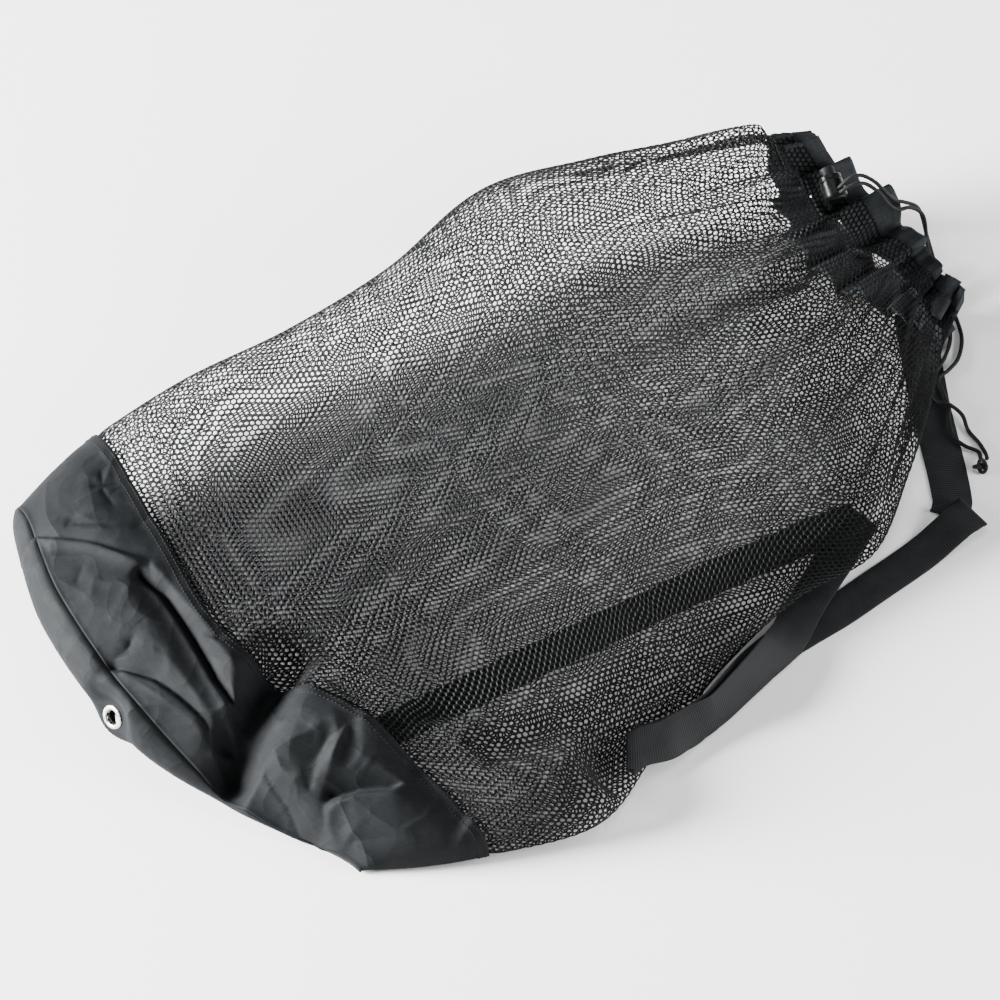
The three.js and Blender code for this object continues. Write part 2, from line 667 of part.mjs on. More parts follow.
const bag = new THREE.Group();
bag.add(
  piece("base_wall", baseWall(), colours.nylon, 0.6),
  piece("base_panel", basePanel(), colours.nylon, 0.6),
  piece("eyelet", eyelet(), colours.nickel, 0.25, 1),
  piece("mesh_body", meshBody(), colours.net, 0.7),
  piece("hem_casing", hemCasing(), colours.hem, 0.65),
  piece("shoulder_strap", shoulderStrap(), colours.webbing, 0.8),
  piece("cord_lock_barrel", lockBarrel(), colours.plastic, 0.25),
  piece("cord_lock_button", lockButton(), colours.plastic, 0.5),
  piece("drawcord_end_1", cord(cordCurve(0), CORD_STEPS), colours.cord, 0.8),
  piece("drawcord_end_2", cord(cordCurve(1), CORD_STEPS), colours.cord, 0.8),
  piece("cord_knot", cord(new Trefoil(), KNOT_STEPS, true), colours.cord, 0.8),
);

export default bag;
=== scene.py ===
"""A drawstring mesh bag that lies on its side, dressed over its solids."""

import math
from collections import namedtuple

import bmesh
import bpy
import numpy as np
from bpy.props import FloatProperty, FloatVectorProperty, IntProperty, PointerProperty
from bpy.types import Operator, Panel, PropertyGroup
from mathutils import Matrix, Vector


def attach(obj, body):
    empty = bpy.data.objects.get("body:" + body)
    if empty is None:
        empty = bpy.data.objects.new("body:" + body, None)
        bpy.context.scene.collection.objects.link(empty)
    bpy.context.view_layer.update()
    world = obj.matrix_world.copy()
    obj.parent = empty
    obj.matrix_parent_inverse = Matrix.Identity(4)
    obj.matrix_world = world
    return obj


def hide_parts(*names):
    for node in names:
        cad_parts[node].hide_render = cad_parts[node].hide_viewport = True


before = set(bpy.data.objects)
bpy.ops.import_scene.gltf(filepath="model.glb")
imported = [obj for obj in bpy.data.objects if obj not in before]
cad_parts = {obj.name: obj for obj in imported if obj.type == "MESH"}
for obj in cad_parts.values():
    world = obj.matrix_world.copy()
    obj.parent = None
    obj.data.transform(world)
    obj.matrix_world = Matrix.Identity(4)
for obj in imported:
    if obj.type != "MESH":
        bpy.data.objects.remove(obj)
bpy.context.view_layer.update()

bl_info = {
    "name": "Mesh Bag",
    "version": (1, 0, 0),
    "blender": (4, 5, 0),
    "location": "View3D > Sidebar > Mesh Bag",
    "description": "Makes a drawstring mesh bag with a nylon base and a webbing strap",
    "category": "Add Mesh",
}

# Tables and sizes below are in millimetres, and meshes are in metres.
MM = 0.001

# Walls of cloth, and the gap between two pieces.
NYLON_WALL = 1.6
HEM_WALL = 2.2
SEAM_GAP = 0.3

# Pleats of the gathered mouth, and finer ones between them.
PLEATS = 16
PLEAT_SWELL = 0.2
PLEAT_LEAN = 1.5
FINE_PLEATS = 43
FINE_PLEAT_SHARE = 0.2

# Where the net and the hem begin and the bag ends, in sections counted from the base.
NET_SEAM = 2
HEM_SEAM = 10
LIP = 11

# How round a section's edges are, how flat it lies, and where it leaves room for the strap under it.
ROUND_EDGE = 0.6
FLAT_UNDERSIDE = 0.4
FULLY_FLAT = 0.93
FLATTEST = 6
FLOOR_CLEARANCE = 0.05
STRAP_ROOM_FROM_Y = (-90, -60)
NEAR_ROOM_TO_Y = (-220, -180)

# One row for each cross section, from the base to the mouth. The far side of the net is slacker near
# the mouth than in the solids.
Section = namedtuple("Section", "name near far under room gather x z")
SECTIONS = (
    Section("end seam", -220, 182, 8, (0, 0), 0, (-294, -338, -359, -350, -317), (4, 21, 62, 72, 30)),
    Section("base wall", -247, 189, 6, (1, 3), 0, (-254, -287, -320, -305, -277), (6, 60, 84, 87, 38)),
    Section("net seam", -268, 195, 4, (1, 5), 0, (-209, -234, -278, -260, -236), (7, 76, 86, 88, 42)),
    Section("low body", -294, 198, 0, (1, 5), 0, (-125, -150, -185, -172, -150), (7, 66, 84, 86, 45)),
    Section("body", -262, 189, 0, (1, 5), 0, (-45, -62, -82, -76, -62), (7, 64, 84, 87, 46)),
    Section("middle", -232, 181, 0, (4, 5), 0, (40, 30, 22, 24, 26), (10, 66, 92, 109, 56)),
    Section("upper body", -216, 184, 0, (5, 5), 1, (118, 115, 112, 112, 110), (15, 78, 108, 141, 72)),
    Section("shoulder", -213, 160, 0, (5, 5), 3, (190, 195, 198, 196, 190), (10, 84, 121, 140, 70)),
    Section("first gather", -168, 135, 0, (5, 5), 6, (255, 262, 264, 258, 253), (12, 82, 120, 131, 72)),
    Section("neck", -128, 106, 0, (5, 5), 9, (305, 310, 301, 304, 311), (28, 84, 112, 126, 90)),
    Section("hem seam", -98, 98, 0, (5, 5), 11, (338, 336, 317, 314, 322), (46, 72, 92, 105, 87)),
    Section("lip", -86, 90, 0, (5, 5), 13, (368, 376, 370, 364, 356), (75, 72, 85, 92, 80)),
)

# Broad creases pressed into the upper side, with their ends in plan. Most are shallower than in the
# solids, since the finer folds lie in them.
Crease = namedtuple("Crease", "name start end width depth")
CREASES = (
    Crease("between the lobes", (-248, -70), (-322, -107), 18, 30),
    Crease("foot of the near lobe", (-322, -107), (-310, -180), 14, 10),
    Crease("across the far lobe", (-338, 142), (-296, 52), 12, 4),
    Crease("down the far lobe", (-298, 40), (-316, -70), 12, 6),
    Crease("from the end seam", (-356, -5), (-324, -80), 11, 5),
    Crease("on the near lobe", (-246, -146), (-288, -188), 12, 5),
    Crease("slack net", (-176, -216), (-88, -238), 16, 12),
    Crease("under the strap", (-84, -262), (-30, -254), 24, 60),
)

# Finer folds, each along a line in plan. A negative depth raises a ridge. An edge of 1 is crisp, 2 is soft.
Fold = namedtuple("Fold", "name width depth edge line")
FOLDS = (
    Fold(
        "ridge from the far end of the seam", 10, -7, 1,
        ((-332, 134), (-310, 98), (-303, 80), (-291, 50)),
    ),
    Fold("hollow over that ridge", 8, 7, 1, ((-330, 139), (-308, 101), (-298, 81), (-286, 62))),
    Fold("crease up from that hollow", 5, 3, 1, ((-323, 122), (-301, 128))),
    Fold("crease at the far end", 5, 3, 1, ((-273, 141), (-248, 125))),
    Fold(
        "long crease", 6, 13, 1,
        ((-297, 51), (-293, 28), (-296, 0), (-301, -30), (-305, -55), (-305, -84), (-302, -91)),
    ),
    Fold(
        "ridge beside the net seam", 10, -5, 1,
        ((-286, 48), (-286, 17), (-287, -14), (-290, -53), (-291, -79)),
    ),
    Fold("nick in that ridge", 4, 4, 1, ((-293, -20), (-285, -36))),
    Fold("nick at its end", 4, 4, 1, ((-304, -78), (-292, -72))),
    Fold(
        "crease from the end seam", 6, 9, 1,
        ((-355, 5), (-339, -24), (-332, -48), (-328, -66), (-327, -85)),
    ),
    Fold("short crease from the end seam", 5, 5, 1, ((-352, 8), (-342, 6), (-334, 10))),
    Fold(
        "ridge under the crease", 10, -5, 1,
        ((-354, -6), (-348, -25), (-341, -46), (-335, -68), (-334, -83)),
    ),
    Fold("pocket between the lobes", 13, 26, 1.4, ((-319, -92), (-316, -100), (-321, -107))),
    Fold("edge of that pocket", 6, -4, 1, ((-327, -80), (-333, -90), (-333, -103))),
    Fold("edge of the near lobe", 8, -6, 1, ((-275, -135), (-293, -127), (-305, -120))),
    Fold(
        "valley between the lobes", 6, 12, 1,
        ((-311, -119), (-311, -138), (-310, -152), (-312, -171), (-305, -190)),
    ),
    Fold("ridge beyond the valley", 8, -4, 1, ((-303, -126), (-302, -150), (-301, -177))),
    Fold("crest of the near lobe", 11, -8, 1.2, ((-268, -135), (-249, -144), (-238, -156))),
    Fold("fold down the near lobe", 9, -7, 1, ((-252, -148), (-265, -154), (-278, -161), (-291, -168))),
    Fold("hollow before that fold", 9, 6, 1.2, ((-268, -144), (-283, -150), (-296, -160))),
    Fold("fold across the near lobe", 8, 16, 1, ((-285, -170), (-263, -184), (-240, -203))),
    Fold("ridge under that fold", 9, -5, 1, ((-288, -179), (-266, -194), (-245, -213))),
    Fold("hollow beside that ridge", 5, 6, 1, ((-292, -170), (-296, -178), (-300, -184))),
    Fold("long wrinkle of the near lobe", 7, 3, 1, ((-288, -205), (-251, -238))),
    Fold("slope of the near lobe", 26, 16, 1.5, ((-224, -199), (-222, -226), (-212, -250))),
    Fold("net between the lobes", 8, 6, 1, ((-239, -98), (-235, -115), (-228, -136))),
    Fold("net beside the near lobe", 9, 7, 1, ((-225, -165), (-203, -172), (-177, -179))),
    Fold("net at the far lobe", 7, 4, 1, ((-186, 158), (-170, 134))),
    Fold("slack net over the near edge", 9, 7, 1, ((-175, -216), (-132, -226), (-89, -230))),
)

# A fold fades over these shares of its line, so that it is still faint at the line's end.
FOLD_FADE = (0.82, 1.25)

# Wrinkles of the nylon run across the base at chance places, within these bounds in plan.
WRINKLES = 64
WRINKLE_SEED = 11
WRINKLE_X = (-350, -232)
WRINKLE_Y = (-235, 165)
WRINKLE_LENGTH = (14, 46)
WRINKLE_WIDTH = (3.5, 7)
WRINKLE_DEPTH = (-2.0, 2.6)
WRINKLE_TURN = 0.7
WRINKLE_BEND = 0.12

# The shoulder strap: a row for each place along it, with the plan angle of its width, how steeply the
# width rises, and the radius and heading of a fold.
Rung = namedtuple("Rung", "x y z across lean fold ahead", defaults=(0, 0))
STRAP_PLACES = (
    Rung(354, -46, 3.2, -29, 0),
    Rung(340, -71, 2.2, -29, 0),
    Rung(326, -97, 0.8, -26, 0),
    Rung(312, -123, 0.8, -23, 0),
    Rung(298, -152, 0.8, -23, 0),
    Rung(285, -179, 0.8, -32, 0),
    Rung(272, -203, 0.8, -46, 0),
    Rung(264, -216, 0.8, -55, 0, 1.7, 247),
    Rung(269, -221.5, 4.2, -71, 0),
    Rung(274, -224, 4.2, -87, 0, 1.7, -20),
    Rung(260, -226.5, 7.6, -86, 0),
    Rung(246, -228, 5.2, -86, 0),
    Rung(230, -229.5, 2, -86, 0),
    Rung(212, -231, 0.8, -86, 0),
    Rung(176, -233.5, 0.8, -86, 0),
    Rung(140, -236, 0.8, -86, 0),
    Rung(108, -236, 0.8, -83, 0),
    Rung(90, -237, 2.6, -78, -6),
    Rung(66, -244, 8.4, -74, -30),
    Rung(36, -252, 13.4, -76, -54),
    Rung(4, -261, 14.6, -84, -64),
    Rung(-20, -265, 13.6, -98, -50),
    Rung(-42, -262, 14, -112, -30),
    Rung(-60, -258, 14.6, -122, -18),
    Rung(-72, -259, 15, -126, -14, 2, 144),
    Rung(-59, -262, 18.4, -121, -22),
    Rung(-42, -266.5, 17, -110, -36),
    Rung(-20, -265.5, 15.6, -95, -54),
    Rung(3, -265.5, 15.4, -80, -70),
    Rung(33, -258, 15, -73, -64),
    Rung(60, -250, 14, -69, -56),
    Rung(80, -243, 11.6, -66, -40),
    Rung(96, -235, 6.8, -64, -17),
    Rung(112, -224.5, 4, -62, -5),
    Rung(130, -214.5, 2.3, -62, 4),
    Rung(150, -204, 0.8, -63, 0),
    Rung(175, -192, 0.8, -66, 0),
    Rung(193, -183, 0.8, -73, 0),
    Rung(207, -176, 0.8, -80, 0, 1.25, 26),
    Rung(190, -172.5, 3.3, -88, 0),
    Rung(165, -167.5, 3.1, -98, 0),
    Rung(138, -163, 1.6, -100, 0),
    Rung(110, -158, 0.8, -100, 0),
    Rung(20, -148, 0.8, -97, 0),
    Rung(-90, -136, 0.8, -96, 0),
    Rung(-190, -126, 0.8, -96, 0),
    Rung(-222, -122.5, 2, -96, 0),
    Rung(-258, -119, 2.6, -96, 0),
)
STRAP_WIDTH = 30
STRAP_THICKNESS = 1.6
FOLD_STEPS = 8
STEEPEST_CREASE = 0.8

# The cord lock lies along LOCK_AHEAD, and the cords pass through it along SLOT_AHEAD.
LOCK_PLACE = np.array((324, 16, 115.5))
LOCK_AHEAD = np.array((-0.27, -0.9, -0.34))
LOCK_AHEAD = LOCK_AHEAD / np.linalg.norm(LOCK_AHEAD)
SLOT_AHEAD = np.array((0.2, -0.4, 0.89))
SLOT_AHEAD = SLOT_AHEAD - LOCK_AHEAD * SLOT_AHEAD.dot(LOCK_AHEAD)
SLOT_AHEAD = SLOT_AHEAD / np.linalg.norm(SLOT_AHEAD)
LOCK_RADIUS = 9
LOCK_LENGTH = 20
SLOT_FROM_RIM = 14.4
SLOT_LONG = 8
SLOT_WIDE = 4.4
CORD_APART = 1.9
BORE_DEPTH = 11.2
BUTTON_RADIUS = 5.6
BUTTON_SHOWING = 7
BUTTON_IN_BORE = 6

# The drawcord's two ends, from the cord lock to the knot.
CORD_START = np.array((321, 18, 93))
CORD_IN_SLOT = 11
CORD_POINTS = (
    (
        (334, 8, 129.5), (343, 7, 127), (351, 0, 120), (357, -7, 108), (363, -9.5, 98),
        (371, -10.5, 91), (382, -13, 78), (386, -20, 46), (386.5, -34, 14), (385.5, -44, 5),
        (382, -55, 2.6), (377, -70, 2), (370, -85, 1.9), (356, -99, 2.2), (343, -104.5, 3.8),
        (331, -107, 4.2), (326.5, -119, 4.2), (321, -133, 4.2), (313.5, -144, 4.2), (307.5, -157, 4.2),
        (309, -169, 4), (314.5, -179.5, 2.8), (311, -186.8, 4.6),
    ),
    (
        (334, 3, 126.5), (342, 1.5, 123.5), (349, -5.5, 116), (354, -13, 104), (360, -16, 95.5),
        (371, -17, 91), (381, -20, 78), (381, -27, 45), (380.5, -41, 14), (379, -50, 5),
        (375, -59, 2.8), (370, -69, 2), (362, -81, 1.9), (348, -93, 3.8), (334, -101, 4.2),
        (322, -112, 4.2), (318, -124, 4.4), (321.5, -134.5, 8.4), (325, -145, 4.4), (321, -158, 2),
        (320.5, -172, 1.9), (318, -184, 2.4), (315, -189.4, 4.6),
    ),
)
KNOT_REACH = 5.2
KNOT_LIFT = 2.3
KNOT_STEPS = 90
KNOT_PLACE = np.array((307.3, -192.2, 4.2))

# The end panel and the eyelet of its drain hole.
EYELET_PLACE = np.array((-367.5, -11, 31))
EYELET_OUT = np.array((-0.96, -0.1, 0.38))
EYELET_OUT = EYELET_OUT / np.linalg.norm(EYELET_OUT)
EYELET_HOLE_RADIUS = 5.8
EYELET_OUTER_RADIUS = 9.5
PANEL_BULGE = 18.5
PANEL_SET_OFF = 0.25

# The camera stands far off with a long lens and looks at the origin. Its distance is in metres.
CAMERA_DISTANCE = 30.0
CAMERA_AZIMUTH = -36.6
CAMERA_ELEVATION = 52.4
CAMERA_LENS = 1438.8
CAMERA_SENSOR = 36.0
CAMERA_CLIP_END = 100.0

# Each lamp's name, place in metres, size and power.
LAMPS = (
    ("key", (-3.7, 2.3, 1.15), 2.0, 2900.0),
    ("top", (0.4, 0.4, 3.4), 2.8, 40.0),
    ("fill", (2.6, -2.8, 1.4), 2.4, 300.0),
)
SKY_COLOUR = (0.95, 0.97, 1.0, 1.0)
SKY_STRENGTH = 0.2
FLOOR_REACH = 9.0


def count_property(name, description, count, fewest, most):
    """A number of repeats that a user may change."""
    return IntProperty(name=name, description=description, default=count, min=fewest, max=most)


def length_property(name, description, length, least, most):
    """A length in metres that a user may change."""
    return FloatProperty(
        name=name, description=description, default=length, min=least, max=most, unit="LENGTH"
    )


class BagSizes(PropertyGroup):
    """Sizes of the bag's repeats"""

    net_columns: count_property(
        "Net openings round the bag", "How many openings of the net go once round the body", 216, 60, 260
    )
    net_rows: count_property(
        "Net rows", "How many rows of openings go from the base to the hem", 144, 40, 180
    )
    net_opening: FloatProperty(
        name="Net opening",
        description="Share of a net cell that is open",
        default=0.7,
        min=0.4,
        max=0.9,
        subtype="FACTOR",
    )
    net_rise: length_property(
        "Net yarn height", "How far the yarn stands up from the net", 0.0008, 0.0002, 0.002
    )
    rib_pitch: length_property(
        "Webbing rib pitch", "Distance between two ribs of the webbing", 0.0018, 0.001, 0.004
    )
    stitch_pitch: length_property(
        "Stitch pitch", "Distance between two stitches of a seam", 0.0034, 0.002, 0.008
    )
    thread: length_property("Thread thickness", "Thickness of the sewing thread", 0.0007, 0.0002, 0.002)
    cord_diameter: length_property("Cord diameter", "Thickness of the drawcord", 0.0032, 0.002, 0.005)


def colour_property(name, colour):
    """A colour that a user may change."""
    return FloatVectorProperty(
        name=name,
        description=f"Colour of the {name.lower()}",
        default=(*colour, 1.0),
        size=4,
        min=0.0,
        max=1.0,
        subtype="COLOR",
    )


class BagColours(PropertyGroup):
    """Colours of the bag's materials"""

    nylon: colour_property("Nylon", (0.0046, 0.0054, 0.0060))
    net: colour_property("Net", (0.0036, 0.0040, 0.0045))
    hem: colour_property("Hem", (0.0170, 0.0194, 0.0210))
    webbing: colour_property("Webbing", (0.0118, 0.0131, 0.0142))
    cord: colour_property("Cord", (0.007, 0.0073, 0.0078))
    lock: colour_property("Lock barrel", (0.003, 0.0032, 0.0035))
    button: colour_property("Lock button", (0.006, 0.0064, 0.0069))
    nickel: colour_property("Nickel", (0.62, 0.61, 0.58))
    thread: colour_property("Thread", (0.0022, 0.0024, 0.0026))
    floor: colour_property("Floor", (0.93, 0.93, 0.925))


def smooth_step(value, low, high):
    share = np.clip((value - low) / (high - low), 0, 1)
    return share * share * (3 - 2 * share)


def between(first, last, share):
    return first + (last - first) * share


def unit(vectors):
    lengths = np.linalg.norm(vectors, axis=-1, keepdims=True)
    return vectors / np.maximum(lengths, 1e-9)


def above_floor(points, lowest=FLOOR_CLEARANCE):
    """The points, with those that would lie too low raised."""
    points[..., 2] = np.maximum(points[..., 2], lowest)
    return points


def catmull_rom(a, b, c, d, share):
    linear = (c - a) * share
    square = (2 * a - 5 * b + 4 * c - d) * share**2
    cube = (3 * b - a - 3 * c + d) * share**3
    return b + 0.5 * (linear + square + cube)


def across_five(values, across):
    """A smooth curve through five evenly spaced values."""
    values = np.asarray(values, float)
    place = np.minimum(across * 4, 3.9999)
    first = place.astype(int)
    picked = [values[np.clip(first + step, 0, 4)] for step in (-1, 0, 1, 2)]
    return catmull_rom(*picked, place - first)


def section_ring(section, angle):
    """Points of one cross section: angle 0 is its near edge, and pi its far edge by way of the top."""
    across = (1 - np.cos(angle)) / 2
    lift = np.abs(np.sin(angle))
    edge = between(section.z[0], section.z[4], across)
    y = between(section.near, section.far, across)
    x = across_five(section.x, across)
    quarter = math.sin(math.pi / 3) ** ROUND_EDGE
    crown = [section.z[i] - between(section.z[0], section.z[4], i / 4) for i in (1, 2, 3)]
    crown[0] /= quarter
    crown[2] /= quarter
    height = across_five((crown[0], *crown, crown[2]), across)
    top = edge + height * lift**ROUND_EDGE
    standing = between(*section.room, smooth_step(y, *NEAR_ROOM_TO_Y))
    standing = standing * (1 - smooth_step(y, *STRAP_ROOM_FROM_Y))
    flatness = np.minimum(1, lift**FLAT_UNDERSIDE / FULLY_FLAT)
    is_top = np.sin(angle) >= 0
    z = np.where(is_top, top, between(edge, standing, flatness))
    x = np.where(is_top, x, x + section.under * lift)
    wave = np.cos(PLEATS * angle) * (1 - PLEAT_SWELL + PLEAT_SWELL * np.cos(3 * angle + 0.7))
    wave = wave + FINE_PLEAT_SHARE * np.cos(FINE_PLEATS * angle + 2 * np.sin(2 * angle))
    inward = (1 - np.sin(angle)) / 2
    middle = (section.near + section.far) / 2
    upright = PLEAT_LEAN * (z - section.z[2] / 2)
    out = unit(np.stack((np.zeros_like(y), y - middle, upright), axis=-1))
    return np.stack((x, y, z), axis=-1) + out * (section.gather * (wave - inward))[..., None]


def away_from(x, y, start, end):
    """How far points in plan are from a straight line between two ends, and their share of its length."""
    start = np.array(start, float)
    along = np.array(end, float) - start
    place = ((x - start[0]) * along[0] + (y - start[1]) * along[1]) / along.dot(along)
    place = np.clip(place, 0, 1)
    return np.hypot(x - start[0] - place * along[0], y - start[1] - place * along[1]), place


def chance_wrinkles():
    """Small wrinkles of the nylon, the same at each run."""
    draw = np.random.default_rng(WRINKLE_SEED)
    made = []
    for _ in range(WRINKLES):
        start = np.array((draw.uniform(*WRINKLE_X), draw.uniform(*WRINKLE_Y)))
        turn = draw.normal(0.0, WRINKLE_TURN)
        reach = draw.uniform(*WRINKLE_LENGTH) * np.array((math.cos(turn), math.sin(turn)))
        bend = draw.normal(0.0, WRINKLE_BEND) * np.array((-reach[1], reach[0]))
        line = (tuple(start), tuple(start + reach / 2 + bend), tuple(start + reach))
        made.append(Fold("wrinkle", draw.uniform(*WRINKLE_WIDTH), draw.uniform(*WRINKLE_DEPTH), 1, line))
    return tuple(made)


ALL_FOLDS = FOLDS + chance_wrinkles()


def crease_depth(x, y):
    """How far the creases press the upper side down, and how far the ridges raise it."""
    valley = np.zeros_like(x)
    ridge = np.zeros_like(x)
    for crease in CREASES:
        away, _ = away_from(x, y, crease.start, crease.end)
        valley = np.maximum(valley, crease.depth * np.exp(-((away / crease.width) ** 2)))
    for fold in ALL_FOLDS:
        away = np.full_like(x, np.inf)
        along = np.zeros_like(x)
        for count, (start, end) in enumerate(zip(fold.line[:-1], fold.line[1:])):
            off, place = away_from(x, y, start, end)
            along = np.where(off < away, (count + place) / (len(fold.line) - 1), along)
            away = np.minimum(away, off)
        depth = fold.depth * np.exp(-((away / fold.width) ** fold.edge))
        depth = depth * (1 - smooth_step(along, *FOLD_FADE))
        valley = np.maximum(valley, depth)
        ridge = np.minimum(ridge, depth)
    return valley + ridge


def bag_surface(places, angles):
    """The bag's outer surface as a grid: places count sections from the base, angles go round."""
    rings = np.stack([section_ring(section, angles) for section in SECTIONS])
    last = len(SECTIONS) - 1
    first = np.minimum(places.astype(int), last - 1)
    share = (places - first)[:, None, None]
    picked = [rings[np.clip(first + step, 0, last)] for step in (-1, 0, 1, 2)]
    grid = catmull_rom(*picked, share)
    pressed = grid[..., 2] - crease_depth(grid[..., 0], grid[..., 1])
    pressed = np.maximum(pressed, np.minimum(grid[..., 2], FLATTEST))
    is_top = (np.sin(angles) > 0)[None, :]
    grid[..., 2] = np.maximum(np.where(is_top, pressed, grid[..., 2]), 0)
    return grid


def evenly(lines, count, closed=False, weights=1.0):
    """Each line of points, set again at even steps. A closed line repeats its first point at its end."""
    steps = np.linalg.norm(np.diff(lines, axis=1), axis=2) * weights
    walked = np.concatenate((np.zeros((len(lines), 1)), np.cumsum(steps, axis=1)), axis=1)
    shares = np.arange(count) / (count if closed else count - 1)
    made = np.empty((len(lines), count, 3))
    for line, walk, target in zip(lines, walked, made):
        wanted = shares * walk[-1]
        for axis in range(3):
            target[:, axis] = np.interp(wanted, walk, line[:, axis])
    return made


def even_grid(first, last, rows, columns, fine_rows=90, fine_columns=1800, underside=1.0):
    """The bag's surface between two places, in even rows and columns, with fewer on the underside."""
    places = np.linspace(first, last, fine_rows)
    angles = np.linspace(0, 2 * math.pi, fine_columns + 1)
    weights = np.where(np.sin((angles[:-1] + angles[1:]) / 2) > 0, 1.0, underside)
    rings = evenly(bag_surface(places, angles), columns, closed=True, weights=weights)
    return evenly(rings.transpose(1, 0, 2), rows).transpose(1, 0, 2)


def grid_normals(grid, closed=True):
    """The outward direction at each point of a grid."""
    along = np.gradient(grid, axis=0)
    if closed:
        around = np.roll(grid, -1, axis=1) - np.roll(grid, 1, axis=1)
    else:
        around = np.gradient(grid, axis=1)
    return unit(np.cross(along, around))


def new_piece(name, points, faces, uvs=None):
    """A smooth mesh object from points in millimetres."""
    faces = np.asarray(faces)
    corners = faces.shape[1]
    mesh = bpy.data.meshes.new(name)
    mesh.vertices.add(len(points))
    mesh.vertices.foreach_set("co", (np.asarray(points, float) * MM).ravel())
    mesh.loops.add(faces.size)
    mesh.loops.foreach_set("vertex_index", faces.astype(np.int32).ravel())
    mesh.polygons.add(len(faces))
    mesh.polygons.foreach_set("loop_start", np.arange(0, faces.size, corners, dtype=np.int32))
    if uvs is not None:
        layer = mesh.uv_layers.new(name="cloth")
        layer.uv.foreach_set("vector", np.asarray(uvs, np.float32).ravel())
    mesh.update(calc_edges=True)
    mesh.validate()
    mesh.shade_smooth()
    return link_object(name, mesh)


def link_object(name, data):
    """A new object in the scene."""
    made = bpy.data.objects.new(name, data)
    bpy.context.scene.collection.objects.link(made)
    return made


def dress(piece, material, slot, body, *nodes):
    """Gives a finished piece its material, parents it to the body it rides on, and hides the parts it
    stands for.
    """
    piece.data.materials.clear()
    piece.data.materials.append(material)
    piece.data.polygons.foreach_set("material_index", np.zeros(len(piece.data.polygons), np.int32))
    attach(piece, body)
    if nodes:
        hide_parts(*nodes)
    return piece


def wall_shell(name, outer, inner, closed=True, lengths=None):
    """A closed wall between two grids of points, with uvs in metres round it and along it."""
    rows, columns = outer.shape[:2]
    wrap = columns if closed else columns - 1
    index = np.arange(rows * columns).reshape(rows, columns)
    here = index[:, :wrap]
    beside = np.roll(index, -1, axis=1)[:, :wrap]
    behind = rows * columns
    widths = np.linalg.norm(np.roll(outer, -1, axis=1) - outer, axis=2).mean(axis=0)[:wrap]
    sides = np.concatenate(([0], np.cumsum(widths))) * MM
    if lengths is None:
        steps = np.linalg.norm(np.diff(outer, axis=0), axis=2).mean(axis=1)
        lengths = np.concatenate(([0], np.cumsum(steps)))
    across = np.broadcast_to(sides[:-1], (rows, wrap))
    across_beside = np.broadcast_to(sides[1:], (rows, wrap))
    along = np.broadcast_to((lengths * MM)[:, None], (rows, wrap))
    faces = []
    uvs = []

    def add(corners, corner_uvs):
        faces.append(np.stack([corner.ravel() for corner in corners], axis=1))
        pairs = [np.stack((u.ravel(), v.ravel()), axis=1) for u, v in corner_uvs]
        uvs.append(np.stack(pairs, axis=1))

    low = (across[:-1], along[:-1])
    high = (across[1:], along[1:])
    low_beside = (across_beside[:-1], along[:-1])
    high_beside = (across_beside[1:], along[1:])
    add((here[:-1], here[1:], beside[1:], beside[:-1]), (low, high, high_beside, low_beside))
    add(
        (here[:-1] + behind, beside[:-1] + behind, beside[1:] + behind, here[1:] + behind),
        (low, low_beside, high_beside, high),
    )
    first = (across[0], along[0])
    first_beside = (across_beside[0], along[0])
    end = (across[-1], along[-1])
    end_beside = (across_beside[-1], along[-1])
    add(
        (here[0], beside[0], beside[0] + behind, here[0] + behind),
        (first, first_beside, first_beside, first),
    )
    add(
        (here[-1], here[-1] + behind, beside[-1] + behind, beside[-1]),
        (end, end, end_beside, end_beside),
    )
    if not closed:
        for column, turned in ((index[:, 0], False), (index[:, -1], True)):
            corners = [column[:-1], column[:-1] + behind, column[1:] + behind, column[1:]]
            flat = (np.zeros(rows - 1), lengths[:-1] * MM)
            add(corners[::-1] if turned else corners, (flat,) * 4)
    points = np.concatenate((outer.reshape(-1, 3), inner.reshape(-1, 3)))
    return new_piece(name, points, np.concatenate(faces), np.concatenate(uvs))


def baked(piece, tree, values):
    """Runs a node tree on a piece and keeps the result as a plain mesh."""
    modifier = piece.modifiers.new("shape", "NODES")
    modifier.node_group = tree
    for socket in tree.interface.items_tree:
        if socket.item_type == "SOCKET" and socket.in_out == "INPUT" and socket.name in values:
            modifier[socket.identifier] = values[socket.name]
    return applied(piece)


def applied(piece):
    """The piece with its modifiers worked into a plain mesh."""
    graph = bpy.context.evaluated_depsgraph_get()
    graph.update()
    mesh = bpy.data.meshes.new_from_object(piece.evaluated_get(graph), depsgraph=graph)
    before = piece.data
    piece.modifiers.clear()
    piece.data = mesh
    mesh.name = piece.name
    bpy.data.meshes.remove(before)
    return piece


def node(tree, kind, inputs=None, **settings):
    """A new node, with its settings and its inputs, which are values or sockets."""
    made = tree.nodes.new(kind)
    for key, value in settings.items():
        setattr(made, key, value)
    for key, value in (inputs or {}).items():
        if isinstance(value, bpy.types.NodeSocket):
            tree.links.new(value, made.inputs[key])
        else:
            made.inputs[key].default_value = value
    return made


def new_tree(name, sockets):
    """A geometry node tree with named inputs."""
    tree = bpy.data.node_groups.new(name, "GeometryNodeTree")
    tree.interface.new_socket(name="Geometry", in_out="INPUT", socket_type="NodeSocketGeometry")
    for label, kind in sockets:
        tree.interface.new_socket(name=label, in_out="INPUT", socket_type=kind)
    tree.interface.new_socket(name="Geometry", in_out="OUTPUT", socket_type="NodeSocketGeometry")
    return tree, tree.nodes.new("NodeGroupInput"), tree.nodes.new("NodeGroupOutput")


